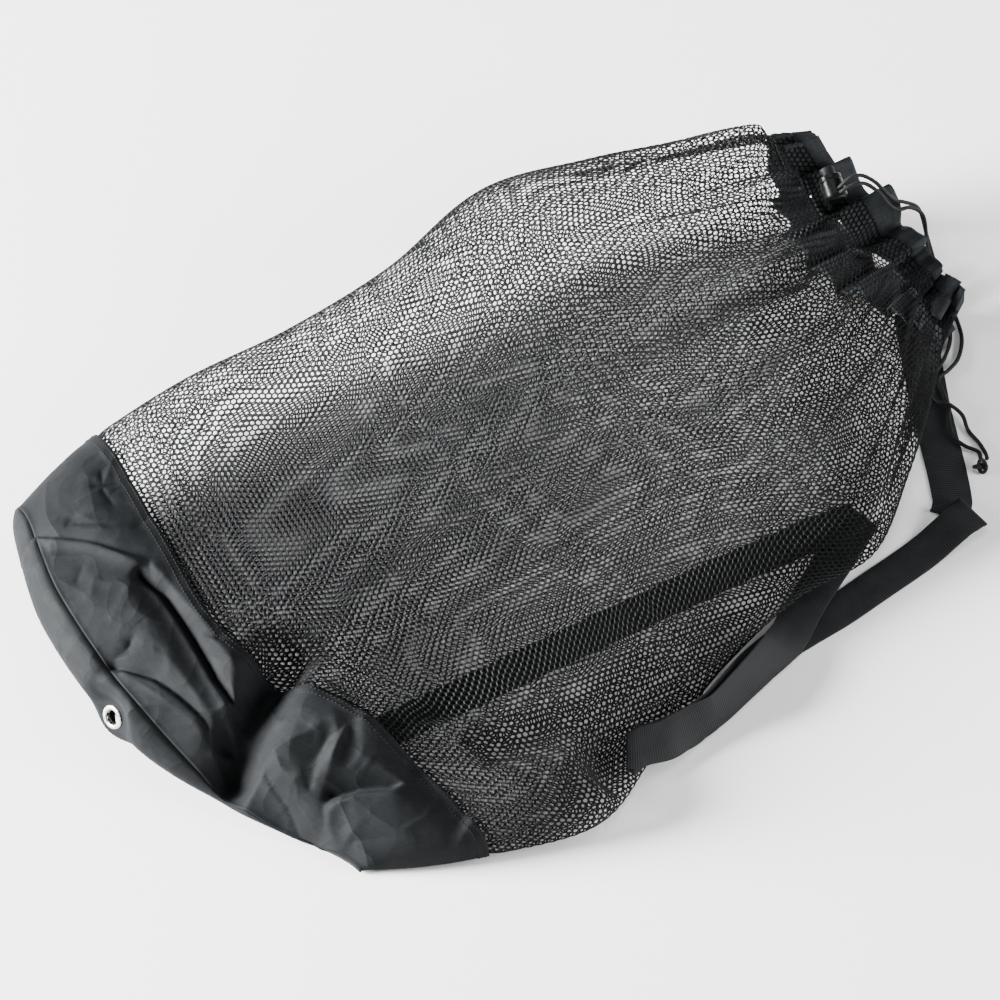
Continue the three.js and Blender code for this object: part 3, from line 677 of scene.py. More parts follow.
def finish_tree(tree, entry, leave, geometry):
    """Realizes what the tree made, gives it the material and sends it out."""
    real = node(tree, "GeometryNodeRealizeInstances", {"Geometry": geometry})
    coloured = node(
        tree,
        "GeometryNodeSetMaterial",
        {"Geometry": real.outputs["Geometry"], "Material": entry.outputs["Material"]},
    )
    tree.links.new(coloured.outputs["Geometry"], leave.inputs["Geometry"])
    return tree


# Points of the net's two faces that lie this near each other, in metres, become one.
NET_MERGE = 0.00001


def net_tree():
    """Turns a lattice of triangles into net: a ring of yarn round each opening, raised where rings meet."""
    tree, entry, leave = new_tree(
        "net",
        (
            ("Opening", "NodeSocketFloat"),
            ("Yarn height", "NodeSocketFloat"),
            ("Material", "NodeSocketMaterial"),
        ),
    )
    cells = node(tree, "GeometryNodeDualMesh", {"Mesh": entry.outputs["Geometry"]})
    normal = node(tree, "GeometryNodeInputNormal")
    marked = node(
        tree,
        "GeometryNodeStoreNamedAttribute",
        {"Geometry": cells.outputs["Dual Mesh"], "Name": "out"},
        data_type="FLOAT_VECTOR",
        domain="POINT",
    )
    value_socket = [socket for socket in marked.inputs if socket.name == "Value" and socket.enabled][0]
    tree.links.new(normal.outputs["Normal"], value_socket)
    inset = node(
        tree,
        "GeometryNodeExtrudeMesh",
        {"Mesh": marked.outputs["Geometry"], "Offset Scale": 0.0, "Individual": True},
        mode="FACES",
    )
    opened = node(
        tree,
        "GeometryNodeScaleElements",
        {
            "Geometry": inset.outputs["Mesh"],
            "Selection": inset.outputs["Top"],
            "Scale": entry.outputs["Opening"],
        },
        domain="FACE",
    )
    outline = node(tree, "FunctionNodeBooleanMath", {0: inset.outputs["Top"]}, operation="NOT")
    out = node(tree, "GeometryNodeInputNamedAttribute", {"Name": "out"}, data_type="FLOAT_VECTOR")
    rise = node(
        tree,
        "ShaderNodeVectorMath",
        {0: out.outputs["Attribute"], "Scale": entry.outputs["Yarn height"]},
        operation="SCALE",
    )
    ridged = node(
        tree,
        "GeometryNodeSetPosition",
        {
            "Geometry": opened.outputs["Geometry"],
            "Selection": outline.outputs["Boolean"],
            "Offset": rise.outputs["Vector"],
        },
    )
    top, flat = [
        node(
            tree,
            "GeometryNodeDeleteGeometry",
            {"Geometry": made.outputs["Geometry"], "Selection": inset.outputs["Top"]},
            domain="FACE",
            mode="ALL",
        )
        for made in (ridged, opened)
    ]
    under = node(tree, "GeometryNodeFlipFaces", {"Mesh": flat.outputs["Geometry"]})
    joined = node(tree, "GeometryNodeJoinGeometry")
    tree.links.new(top.outputs["Geometry"], joined.inputs["Geometry"])
    tree.links.new(under.outputs["Mesh"], joined.inputs["Geometry"])
    merged = node(
        tree,
        "GeometryNodeMergeByDistance",
        {"Geometry": joined.outputs["Geometry"], "Distance": NET_MERGE},
    )
    faceted = node(
        tree, "GeometryNodeSetShadeSmooth", {"Geometry": merged.outputs["Geometry"], "Shade Smooth": False}
    )
    bare = node(
        tree, "GeometryNodeRemoveAttribute", {"Geometry": faceted.outputs["Geometry"], "Name": "out"}
    )
    return finish_tree(tree, entry, leave, bare.outputs["Geometry"])


def stitch_tree():
    """Sets stitches along lines: each is a short round bar of thread that follows the line."""
    tree, entry, leave = new_tree(
        "stitches",
        (
            ("Pitch", "NodeSocketFloat"),
            ("Stitch length", "NodeSocketFloat"),
            ("Thread", "NodeSocketFloat"),
            ("Material", "NodeSocketMaterial"),
        ),
    )
    line = node(tree, "GeometryNodeMeshToCurve", {"Mesh": entry.outputs["Geometry"]})
    places = node(tree, "GeometryNodeResampleCurve", {"Curve": line.outputs["Curve"]}, mode="LENGTH")
    tree.links.new(entry.outputs["Pitch"], places.inputs["Length"])
    tangent = node(tree, "GeometryNodeInputTangent")
    turn = node(
        tree, "FunctionNodeAlignRotationToVector", {"Vector": tangent.outputs["Tangent"]}, axis="X"
    )
    bar = node(tree, "GeometryNodeMeshIcoSphere", {"Radius": 0.5, "Subdivisions": 1})
    size = node(
        tree,
        "ShaderNodeCombineXYZ",
        {
            "X": entry.outputs["Stitch length"],
            "Y": entry.outputs["Thread"],
            "Z": entry.outputs["Thread"],
        },
    )
    stitches = node(
        tree,
        "GeometryNodeInstanceOnPoints",
        {
            "Points": places.outputs["Curve"],
            "Instance": bar.outputs["Mesh"],
            "Rotation": turn.outputs["Rotation"],
            "Scale": size.outputs["Vector"],
        },
    )
    smooth = node(
        tree,
        "GeometryNodeSetShadeSmooth",
        {"Geometry": stitches.outputs["Instances"], "Shade Smooth": True},
    )
    return finish_tree(tree, entry, leave, smooth.outputs["Geometry"])


def cloth_coordinates(tree, uv=True):
    """Coordinates in metres, round and along a piece of cloth, or else of the whole bag."""
    place = node(tree, "ShaderNodeTexCoord")
    return place.outputs["UV" if uv else "Object"]


def new_material(name, colour, roughness, **values):
    """A material with a principled shader, ready for its nodes."""
    material = bpy.data.materials.new(f"bag_{name}")
    material.use_nodes = True
    material.diffuse_color = colour
    tree = material.node_tree
    shader = tree.nodes["Principled BSDF"]
    shader.inputs["Base Color"].default_value = colour
    shader.inputs["Roughness"].default_value = roughness
    for label, value in values.items():
        shader.inputs[label.replace("_", " ")].default_value = value
    return material, tree, shader


def noise(tree, coordinates, scale, detail, **inputs):
    """The factor of a noise texture, with so many features to the metre."""
    inputs = {"Vector": coordinates, "Scale": scale, "Detail": detail, **inputs}
    return node(tree, "ShaderNodeTexNoise", inputs).outputs["Fac"]


def drawn_noise(tree, coordinates, spacing, detail):
    """Noise that is drawn out along an axis."""
    drawn = node(tree, "ShaderNodeMapping", {"Vector": coordinates, "Scale": spacing})
    return noise(tree, drawn.outputs["Vector"], 1.0, detail)


# Most of a noise factor lies within these bounds.
NOISE_BOUNDS = (0.3, 0.7)
MOTTLE_STOPS = (0.3, 0.72)


def mottle(tree, shader, coordinates, colour, spread, scale):
    """Lets the colour vary a little over the surface, and gives the factor that it varies by."""
    factor = noise(tree, coordinates, scale, 3.0, Roughness=0.6)
    ramp = node(tree, "ShaderNodeValToRGB", {"Fac": factor})
    shades = (1 - spread, 1 + spread)
    for stop, place, shade in zip(ramp.color_ramp.elements, MOTTLE_STOPS, shades):
        stop.position = place
        stop.color = (*[min(1, part * shade) for part in colour[:3]], 1)
    tree.links.new(ramp.outputs["Color"], shader.inputs["Base Color"])
    return factor


def ranged(tree, value, bounds, low, high):
    """A value within bounds, brought to lie between low and high."""
    inputs = {"Value": value, "From Min": bounds[0], "From Max": bounds[1], "To Min": low, "To Max": high}
    return node(tree, "ShaderNodeMapRange", inputs).outputs["Result"]


def rough_range(tree, shader, factor, low, high):
    """Lets the roughness vary between two values."""
    tree.links.new(ranged(tree, factor, NOISE_BOUNDS, low, high), shader.inputs["Roughness"])


def shaded(tree, shader, value, bounds, low, high):
    """Makes the colour darker and lighter as a value goes through its bounds."""
    shade = ranged(tree, value, bounds, low, high)
    colour = shader.inputs["Base Color"].links[0].from_socket
    made = node(tree, "ShaderNodeVectorMath", {0: colour, "Scale": shade}, operation="SCALE")
    tree.links.new(made.outputs["Vector"], shader.inputs["Base Color"])


def sine_of(tree, value, period, start=0.0):
    """A sine wave of that period along a coordinate."""
    turned = node(
        tree, "ShaderNodeMath", {0: value, 1: 2 * math.pi / period, 2: start}, operation="MULTIPLY_ADD"
    )
    return node(tree, "ShaderNodeMath", {0: turned.outputs[0]}, operation="SINE").outputs[0]


def bump(tree, shader, heights):
    """Adds heights to the surface, each with its strength and its distance."""
    normal = None
    for height, strength, distance in heights:
        inputs = {"Height": height, "Strength": strength, "Distance": distance}
        if normal is not None:
            inputs["Normal"] = normal
        normal = node(tree, "ShaderNodeBump", inputs).outputs["Normal"]
    tree.links.new(normal, shader.inputs["Normal"])


def calculated(tree, operation, first, second):
    """The result of a sum with two values."""
    return node(tree, "ShaderNodeMath", {0: first, 1: second}, operation=operation).outputs[0]


# Slubs of the nylon's threads to the metre, what their noise comes to, and how they shade the colour.
SLUBS_ACROSS = 760.0
SLUBS_ALONG = 70.0
SLUB_BOUNDS = (0.7, 1.3)
SLUB_SHADES = (0.72, 1.28)
THREAD_HEIGHT = 0.00012
NYLON_SHEEN = (0.82, 0.9, 1.0, 1.0)

# Crumples of the cloth: how many to the metre, how strong, and how high.
CRUMPLES = ((13.0, 0.6, 0.0046), (31.0, 0.5, 0.0016))


def woven_material(name, colour, roughness, thread, relief, sheen):
    """Plain woven nylon: crossed threads with slubs, crumples, slight colour drift and soft sheen."""
    material, tree, shader = new_material(
        name,
        colour,
        roughness,
        Sheen_Weight=sheen,
        Sheen_Roughness=0.35,
        Sheen_Tint=NYLON_SHEEN,
        Specular_IOR_Level=0.08,
    )
    uv = cloth_coordinates(tree)
    place = cloth_coordinates(tree, uv=False)
    drift = mottle(tree, shader, place, colour, 0.16, 38)
    spacings = ((SLUBS_ACROSS, SLUBS_ALONG, 1.0), (SLUBS_ALONG, SLUBS_ACROSS, 1.0))
    slubs = [drawn_noise(tree, uv, spacing, 1.0) for spacing in spacings]
    shaded(tree, shader, calculated(tree, "ADD", *slubs), SLUB_BOUNDS, *SLUB_SHADES)
    split = node(tree, "ShaderNodeSeparateXYZ", {"Vector": uv})
    warp = sine_of(tree, split.outputs["X"], thread)
    weft = sine_of(tree, split.outputs["Y"], thread)
    heights = []
    for scale, strength, distance in CRUMPLES:
        crumple = node(
            tree,
            "ShaderNodeTexNoise",
            {"Vector": place, "Scale": scale, "Detail": 1.0, "Offset": 1.0, "Gain": 1.0, "Distortion": 0.2},
            noise_type="RIDGED_MULTIFRACTAL",
        )
        heights.append((crumple.outputs["Fac"], strength, distance))
    heights.append((calculated(tree, "MULTIPLY", warp, weft), relief, THREAD_HEIGHT))
    rough_range(tree, shader, drift, roughness - 0.07, roughness + 0.08)
    bump(tree, shader, heights)
    return material


def yarn_material(name, colour, roughness, scale, sheen):
    """Fibrous yarn for the net, the thread and the cord."""
    material, tree, shader = new_material(
        name, colour, roughness, Sheen_Weight=sheen, Sheen_Roughness=0.4, Specular_IOR_Level=0.15
    )
    place = cloth_coordinates(tree, uv=False)
    mottle(tree, shader, place, colour, 0.3, 24)
    fibres = noise(tree, place, scale, 3.0, Roughness=0.7)
    rough_range(tree, shader, fibres, roughness - 0.1, roughness + 0.12)
    bump(tree, shader, ((fibres, 0.5, 0.0002),))
    return material


# The webbing's yarns lie side by side at this distance in metres. The rib wave scales the colour by these
# factors: painted shade in the grooves between the ribs and painted highlight on their crowns.
WEB_YARN_PITCH = 0.0011
RIB_PAINTED_SHADE_AND_HIGHLIGHT = (0.25, 1.5)


def webbing_material(colour, pitch):
    """Ribbed webbing with crossed yarns, its colour painted darker in the grooves as painted shade and
    lighter on the rib crowns as painted highlight.
    """
    material, tree, shader = new_material(
        "webbing", colour, 0.62, Sheen_Weight=0.01, Sheen_Roughness=0.45, Specular_IOR_Level=0.15
    )
    uv = cloth_coordinates(tree)
    place = cloth_coordinates(tree, uv=False)
    wear = mottle(tree, shader, place, colour, 0.28, 70)
    split = node(tree, "ShaderNodeSeparateXYZ", {"Vector": uv})
    crown = sine_of(tree, split.outputs["Y"], pitch, start=-math.pi / 2)
    yarn = sine_of(tree, split.outputs["X"], WEB_YARN_PITCH)
    # The rib wave scales the colour: painted shade in the grooves, painted highlight on the crowns.
    shaded(tree, shader, crown, (-1.0, 1.0), *RIB_PAINTED_SHADE_AND_HIGHLIGHT)
    rough_range(tree, shader, wear, 0.52, 0.72)
    bump(tree, shader, ((calculated(tree, "MULTIPLY", crown, yarn), 0.5, 0.00015), (wear, 0.2, 0.0004)))
    return material


def plastic_material(name, colour, roughness, coat, grain):
    """Moulded plastic with a fine grain and handling marks."""
    material, tree, shader = new_material(
        name, colour, roughness, Coat_Weight=coat, Coat_Roughness=0.16, Specular_IOR_Level=0.14
    )
    place = cloth_coordinates(tree, uv=False)
    marks = mottle(tree, shader, place, colour, 0.2, 260)
    rough_range(tree, shader, marks, max(0.05, roughness - 0.08), roughness + 0.12)
    bump(tree, shader, ((noise(tree, place, 2600.0, 2.0), grain, 0.0001),))
    return material


def nickel_material(colour):
    """Nickel plate with light tarnish and fine scratches."""
    material, tree, shader = new_material("nickel", colour, 0.26, Metallic=1.0)
    place = cloth_coordinates(tree, uv=False)
    tarnish = mottle(tree, shader, place, colour, 0.2, 420)
    rough_range(tree, shader, tarnish, 0.16, 0.42)
    scratches = drawn_noise(tree, place, (900.0, 5200.0, 2600.0), 2.0)
    bump(tree, shader, ((scratches, 0.25, 0.00006),))
    return material


def floor_material(colour):
    """Pale paper floor."""
    material, tree, shader = new_material("floor_paper", colour, 0.85, Specular_IOR_Level=0.2)
    place = cloth_coordinates(tree, uv=False)
    bump(tree, shader, ((noise(tree, place, 900.0, 2.0), 0.05, 0.0002),))
    return material


def bag_materials():
    """The bag's materials, made once and found again by name."""
    colours = bpy.context.scene.mesh_bag_colours
    sizes = bpy.context.scene.mesh_bag_sizes
    makers = {
        "nylon": lambda: woven_material("nylon", colours.nylon, 0.7, 0.0009, 0.35, 0.011),
        "hem_nylon": lambda: woven_material("hem_nylon", colours.hem, 0.7, 0.0009, 0.35, 0.015),
        "net": lambda: yarn_material("net", colours.net, 0.6, 1400, 0.01),
        "thread": lambda: yarn_material("thread", colours.thread, 0.55, 2200, 0.02),
        "cord": lambda: yarn_material("cord", colours.cord, 0.6, 1900, 0.02),
        "webbing": lambda: webbing_material(colours.webbing, sizes.rib_pitch),
        "lock_plastic": lambda: plastic_material("lock_plastic", colours.lock, 0.3, 0.03, 0.05),
        "button_plastic": lambda: plastic_material("button_plastic", colours.button, 0.55, 0.0, 0.3),
        "nickel": lambda: nickel_material(colours.nickel),
        "floor_paper": lambda: floor_material(colours.floor),
    }
    made = {}
    for name, make in makers.items():
        made[name] = bpy.data.materials.get(f"bag_{name}") or make()
    return made


CURVE_STEPS = 24
SIDE_GUIDE = (0.13, 0.29, 0.95)


def smooth_curve(points, steps):
    """A centripetal Catmull-Rom curve through the points, in steps of even length."""
    points = np.asarray(points, float)
    padded = np.concatenate(([2 * points[0] - points[1]], points, [2 * points[-1] - points[-2]]))
    gaps = np.maximum(np.linalg.norm(np.diff(padded, axis=0), axis=1) ** 0.5, 1e-4)
    knots = np.concatenate(([0], np.cumsum(gaps)))
    made = []
    for i in range(1, len(padded) - 2):
        a, b, c, d = padded[i - 1 : i + 3]
        ka, kb, kc, kd = knots[i - 1 : i + 3]
        k = np.linspace(kb, kc, CURVE_STEPS, endpoint=False)[:, None]
        first = a * (kb - k) / (kb - ka) + b * (k - ka) / (kb - ka)
        second = b * (kc - k) / (kc - kb) + c * (k - kb) / (kc - kb)
        third = c * (kd - k) / (kd - kc) + d * (k - kc) / (kd - kc)
        left = first * (kc - k) / (kc - ka) + second * (k - ka) / (kc - ka)
        right = second * (kd - k) / (kd - kb) + third * (k - kb) / (kd - kb)
        made.append(left * (kc - k) / (kc - kb) + right * (k - kb) / (kc - kb))
    made.append(points[-1:])
    return evenly(np.concatenate(made)[None], steps)[0]


def path_frames(path, closed):
    """Two directions across a path at each point, which turn as little as they can."""
    if closed:
        tangents = unit(np.roll(path, -1, axis=0) - np.roll(path, 1, axis=0))
    else:
        tangents = unit(np.gradient(path, axis=0))
    side = unit(np.cross(tangents[0], SIDE_GUIDE))
    sides = []
    for tangent in tangents:
        side = unit(side - tangent * side.dot(tangent))
        sides.append(side)
    sides = np.array(sides)
    if closed:
        end = unit(sides[-1] - tangents[0] * sides[-1].dot(tangents[0]))
        twist = math.atan2(np.cross(end, sides[0]).dot(tangents[0]), end.dot(sides[0]))
        turn = (np.arange(len(path)) / len(path) * twist)[:, None]
        sides = sides * np.cos(turn) + np.cross(tangents, sides) * np.sin(turn)
    return sides, np.cross(tangents, sides)


CORD_SIDES = 16
CORD_STEP = 1.05
CORD_MEASURING_STEPS = 400
BRAID_STRANDS = 4
BRAID_LAY = 9.0
BRAID_RELIEF = 0.13


def braided_cord(name, path, diameter, closed=False):
    """A braided cord along a path: two sets of strands that wind opposite ways."""
    sides, tops = path_frames(path, closed)
    steps = np.linalg.norm(np.diff(path, axis=0), axis=1)
    walked = np.concatenate(([0], np.cumsum(steps)))[:, None]
    turn = np.linspace(0, 2 * math.pi, CORD_SIDES, endpoint=False)[None, :]
    lay = 2 * math.pi * walked / BRAID_LAY
    strands = np.maximum(np.cos(BRAID_STRANDS * (turn + lay)), np.cos(BRAID_STRANDS * (turn - lay)))
    radius = diameter / 2 * (1 - BRAID_RELIEF * (1 - strands) / 2)
    around = np.cos(turn)[..., None] * sides[:, None] + np.sin(turn)[..., None] * tops[:, None]
    points = path[:, None] + around * radius[..., None]
    rows, columns = points.shape[:2]
    index = np.arange(rows * columns).reshape(rows, columns)
    beside = np.roll(index, -1, axis=1)
    ahead = np.roll(index, -1, axis=0)
    ahead_beside = np.roll(beside, -1, axis=0)
    keep = rows if closed else rows - 1
    quads = np.stack([part[:keep].ravel() for part in (index, beside, ahead_beside, ahead)], axis=1)
    piece = new_piece(name, points.reshape(-1, 3), quads)
    if not closed:
        edit = bmesh.new()
        edit.from_mesh(piece.data)
        bmesh.ops.holes_fill(edit, edges=[edge for edge in edit.edges if edge.is_boundary], sides=0)
        bmesh.ops.recalc_face_normals(edit, faces=edit.faces)
        edit.to_mesh(piece.data)
        edit.free()
    return piece


def along_lock(from_rim):
    """The place on the lock's axis at a distance from the rim that the button goes in by."""
    return LOCK_PLACE + LOCK_AHEAD * (from_rim - LOCK_LENGTH / 2)


def cord_path(end):
    """The course of one end of the drawcord, and its length in millimetres."""
    along = -CORD_APART if end == 0 else CORD_APART
    in_slot = along_lock(SLOT_FROM_RIM + along)
    points = [CORD_START + np.array((0, -1, 0)) * along]
    points += [in_slot + SLOT_AHEAD * CORD_IN_SLOT * reach for reach in (-1, -0.5, 0, 0.5, 1)]
    points += [np.array(point, float) for point in CORD_POINTS[end]]
    rough = smooth_curve(points, CORD_MEASURING_STEPS)
    length = np.linalg.norm(np.diff(rough, axis=0), axis=1).sum()
    return smooth_curve(points, round(length / CORD_STEP)), length


def strap_rungs():
    """The strap's centres, width directions and headings, with each fold rolled round its crease."""
    centres = []
    widths = []
    headings = []
    for rung in STRAP_PLACES:
        angle = math.radians(rung.across)
        lean = math.radians(rung.lean)
        flat = np.array((math.cos(angle), math.sin(angle), 0))
        width = flat * math.cos(lean) + np.array((0, 0, math.sin(lean)))
        centre = np.array((rung.x, rung.y, rung.z))
        if not rung.fold:
            centres.append(centre)
            widths.append(width)
            headings.append(None)
            continue
        ahead = math.radians(rung.ahead)
        heading = np.array((math.cos(ahead), math.sin(ahead), 0))
        along = heading.dot(flat)
        out = unit(heading - flat * along)
        shift = math.pi * rung.fold * along / math.sqrt(1 - along * along)
        for k in range(FOLD_STEPS + 1):
            turn = math.pi * k / FOLD_STEPS
            point = centre + out * rung.fold * math.sin(turn) + width * shift * (k / FOLD_STEPS - 0.5)
            point[2] += rung.fold * (1 - math.cos(turn))
            tangent = out * math.pi * rung.fold * math.cos(turn) + width * shift
            tangent[2] += math.pi * rung.fold * math.sin(turn)
            centres.append(point)
            widths.append(width)
            headings.append(unit(tangent))
    for i, heading in enumerate(headings):
        if heading is None:
            before = centres[max(i - 1, 0)]
            after = centres[min(i + 1, len(centres) - 1)]
            headings[i] = unit(after - before)
    return np.array(centres), np.array(widths), np.array(headings)


def strap_rows(step):
    """The strap's rungs set again at even steps along it."""
    centres, widths, headings = strap_rungs()
    walked = np.concatenate(([0], np.cumsum(np.linalg.norm(np.diff(centres, axis=0), axis=1))))
    places = np.linspace(0, walked[-1], round(walked[-1] / step))
    first = np.clip(np.searchsorted(walked, places, side="right") - 1, 0, len(walked) - 2)
    length = (walked[first + 1] - walked[first])[:, None]
    share = (places - walked[first])[:, None] / length
    one, two = centres[first], centres[first + 1]
    leave, arrive = headings[first] * length, headings[first + 1] * length
    made = (
        one * (2 * share**3 - 3 * share**2 + 1)
        + leave * (share**3 - 2 * share**2 + share)
        + two * (3 * share**2 - 2 * share**3)
        + arrive * (share**3 - share**2)
    )
    width = unit(between(widths[first], widths[first + 1], share))
    heading = unit(np.gradient(made, axis=0))
    return made, width, heading, places


WEB_COLUMNS = np.array((-1, -0.95, -0.35, 0.35, 0.95, 1))
WEB_FULLNESS = np.array((0.5, 1, 1, 1, 1, 0.5))
RIB_STEPS = 3
RIB_RELIEF = 0.3


def ribbed_strap(pitch):
    """Webbing with its ribs across: two ribbed faces that meet at rounded edges."""
    centre, width, heading, places = strap_rows(pitch / RIB_STEPS)
    normal = np.cross(heading, width)
    steepness = np.maximum(np.linalg.norm(normal, axis=1), STEEPEST_CREASE)
    normal = unit(normal)
    half = (STRAP_WIDTH / 2 / steepness)[:, None, None]
    rib = 1 - RIB_RELIEF * (1 + np.cos(2 * math.pi * places / pitch)) / 2
    lift = (STRAP_THICKNESS / 2 * rib[:, None] * WEB_FULLNESS[None, :])[..., None]
    spine = centre[:, None] + width[:, None] * half * WEB_COLUMNS[None, :, None]
    upper = above_floor(spine + normal[:, None] * lift)
    lower = above_floor(spine - normal[:, None] * lift)
    return wall_shell("strap_webbing", upper, lower, closed=False, lengths=places)


SHARP_EDGE = math.radians(38)
ON_AXIS = 1e-6
WELD = 1e-7
ROUND_STEPS = 5


def lathe(name, profile, sides, place, ahead):
    """A profile of radius and height turned about an axis. It starts and ends on the axis or closes."""
    profile = np.asarray(profile, float)
    turn = np.linspace(0, 2 * math.pi, sides, endpoint=False)
    edit = bmesh.new()
    rings = []
    for radius, height in profile:
        if radius < ON_AXIS:
            rings.append([edit.verts.new((0, 0, height * MM))])
            continue
        ring = [(radius * math.cos(a) * MM, radius * math.sin(a) * MM, height * MM) for a in turn]
        rings.append([edit.verts.new(point) for point in ring])
    for low, high in zip(rings[:-1], rings[1:]):
        for i in range(sides):
            j = (i + 1) % sides
            corners = [low[i % len(low)], low[j % len(low)], high[j % len(high)], high[i % len(high)]]
            face = list(dict.fromkeys(corners))
            if len(face) > 2:
                edit.faces.new(face)
    bmesh.ops.remove_doubles(edit, verts=edit.verts, dist=WELD)
    bmesh.ops.recalc_face_normals(edit, faces=edit.faces)
    turn_to = Vector((0, 0, 1)).rotation_difference(Vector(ahead)).to_matrix().to_4x4()
    edit.transform(Matrix.Translation(Vector(place) * MM) @ turn_to)
    mesh = bpy.data.meshes.new(name)
    edit.to_mesh(mesh)
    edit.free()
    mesh.shade_smooth()
    mesh.set_sharp_from_angle(angle=SHARP_EDGE)
    return link_object(name, mesh)


def rounded(corner_a, corner, corner_b, radius):
    """The points of a round where two straight parts of a profile meet."""
    corner = np.asarray(corner, float)
    to_a = unit(np.asarray(corner_a, float) - corner)
    to_b = unit(np.asarray(corner_b, float) - corner)
    start = corner + to_a * radius
    end = corner + to_b * radius
    shares = np.linspace(0, 1, ROUND_STEPS)
    return [tuple((1 - s) ** 2 * start + 2 * s * (1 - s) * corner + s * s * end) for s in shares]


def rounded_profile(corners, radii):
    """A profile with its inner corners rounded by the given radii."""
    made = [corners[0]]
    for before, corner, after, radius in zip(corners[:-2], corners[1:-1], corners[2:], radii):
        made += rounded(before, corner, after, radius) if radius else [corner]
    return made + [corners[-1]]


def cut(piece, tool):
    """Cuts the tool's shape out of a piece, and removes the tool."""
    modifier = piece.modifiers.new("cut", "BOOLEAN")
    modifier.operation = "DIFFERENCE"
    modifier.solver = "EXACT"
    modifier.object = tool
    applied(piece)
    mesh = tool.data
    bpy.data.objects.remove(tool)
    bpy.data.meshes.remove(mesh)


def seam_line(name, lines):
    """Closed lines of points in millimetres, as one mesh of edges."""
    points = np.concatenate(lines)
    edges = []
    first = 0
    for line in lines:
        count = len(line)
        edges += [(first + i, first + (i + 1) % count) for i in range(count)]
        first += count
    mesh = bpy.data.meshes.new(name)
    mesh.from_pydata((points * MM).tolist(), edges, [])
    return link_object(name, mesh)


STITCH_SHARE = 0.82


def stitched(name, lines, slot):
    """Rows of stitches along closed lines."""
    sizes = bpy.context.scene.mesh_bag_sizes
    thread = bag_materials()["thread"]
    piece = seam_line(name, lines)
    tree = bpy.data.node_groups.get("stitches") or stitch_tree()
    values = {
        "Pitch": sizes.stitch_pitch,
        "Stitch length": sizes.stitch_pitch * STITCH_SHARE,
        "Thread": sizes.thread,
        "Material": thread,
    }
    baked(piece, tree, values)
    return dress(piece, thread, slot, "bag")


class MESHBAG_OT_stage(Operator):
    """Make the floor, the lights and the camera"""

    bl_idname = "mesh_bag.stage"
    bl_label = "Stage"

    def execute(self, context):
        scene = context.scene
        reach = FLOOR_REACH
        corners = [(-reach, -reach, 0), (reach, -reach, 0), (reach, reach, 0), (-reach, reach, 0)]
        floor = new_piece("floor", np.array(corners) / MM, [(0, 1, 2, 3)])
        floor.data.materials.append(bag_materials()["floor_paper"])
        azimuth = math.radians(CAMERA_AZIMUTH)
        elevation = math.radians(CAMERA_ELEVATION)
        back = Vector(
            (
                math.sin(azimuth) * math.cos(elevation),
                -math.cos(azimuth) * math.cos(elevation),
                math.sin(elevation),
            )
        )
        camera = link_object("camera", bpy.data.cameras.new("camera"))
        camera.data.lens = CAMERA_LENS
        camera.data.sensor_width = CAMERA_SENSOR
        camera.data.clip_end = CAMERA_CLIP_END
        camera.location = back * CAMERA_DISTANCE
        camera.rotation_euler = (-back).to_track_quat("-Z", "Y").to_euler()
        scene.camera = camera
        for name, place, size, power in LAMPS:
            lamp = link_object(name, bpy.data.lights.new(name, "AREA"))
            lamp.data.shape = "DISK"
            lamp.data.size = size
            lamp.data.energy = power
            lamp.location = place
            lamp.rotation_euler = (-Vector(place)).to_track_quat("-Z", "Y").to_euler()
        world = bpy.data.worlds.new("studio")
        world.use_nodes = True
        sky = world.node_tree.nodes["Background"]
        sky.inputs["Color"].default_value = SKY_COLOUR
        sky.inputs["Strength"].default_value = SKY_STRENGTH
        scene.world = world
        return {"FINISHED"}


class MESHBAG_OT_drawcord(Operator):
    """Make the two braided ends of the drawcord and their knot"""

    bl_idname = "mesh_bag.drawcord"
    bl_label = "Drawcord"

    def execute(self, context):
        material = bag_materials()["cord"]
        diameter = context.scene.mesh_bag_sizes.cord_diameter
        turns = np.linspace(0, 2 * math.pi, KNOT_STEPS, endpoint=False)
        flat = (np.sin(turns) + 2 * np.sin(2 * turns), np.cos(turns) - 2 * np.cos(2 * turns))
        reach = KNOT_REACH / 3
        loop = np.stack((flat[0] * reach, flat[1] * reach, -KNOT_LIFT * np.sin(3 * turns)), axis=1)
        knot = braided_cord("drawcord_knot", loop + KNOT_PLACE, diameter / MM, closed=True)
        dress(knot, material, "cord", "bag", "cord_knot")
        for end in (0, 1):
            path, length = cord_path(end)
            piece = braided_cord(f"drawcord_{end + 1}", path, diameter / MM)
            dress(piece, material, "cord", "bag", f"drawcord_end_{end + 1}")
        return {"FINISHED"}


# The net is made in bands. Its first rows are tucked in under the nylon.
NET_BANDS = 5
NET_TUCK_IN = (2.3, 1.7, 0.5)
NET_START = NET_SEAM - 0.05
NET_END = HEM_SEAM + 0.5
NET_CLEARANCE = 0.15


def net_lattice(rows, columns, rise):
    """Rows of points on the net's surface, every other row half a step round."""
    grid = even_grid(NET_START, NET_END, rows, 2 * columns, fine_rows=180, fine_columns=2880)
    inset = np.full(rows, rise + NET_CLEARANCE)
    inset[: len(NET_TUCK_IN)] += NET_TUCK_IN
    grid = grid - grid_normals(grid) * inset[:, None, None]
    lattice = np.empty((rows, columns, 3))
    lattice[0::2] = grid[0::2, 0::2]
    lattice[1::2] = grid[1::2, 1::2]
    return lattice


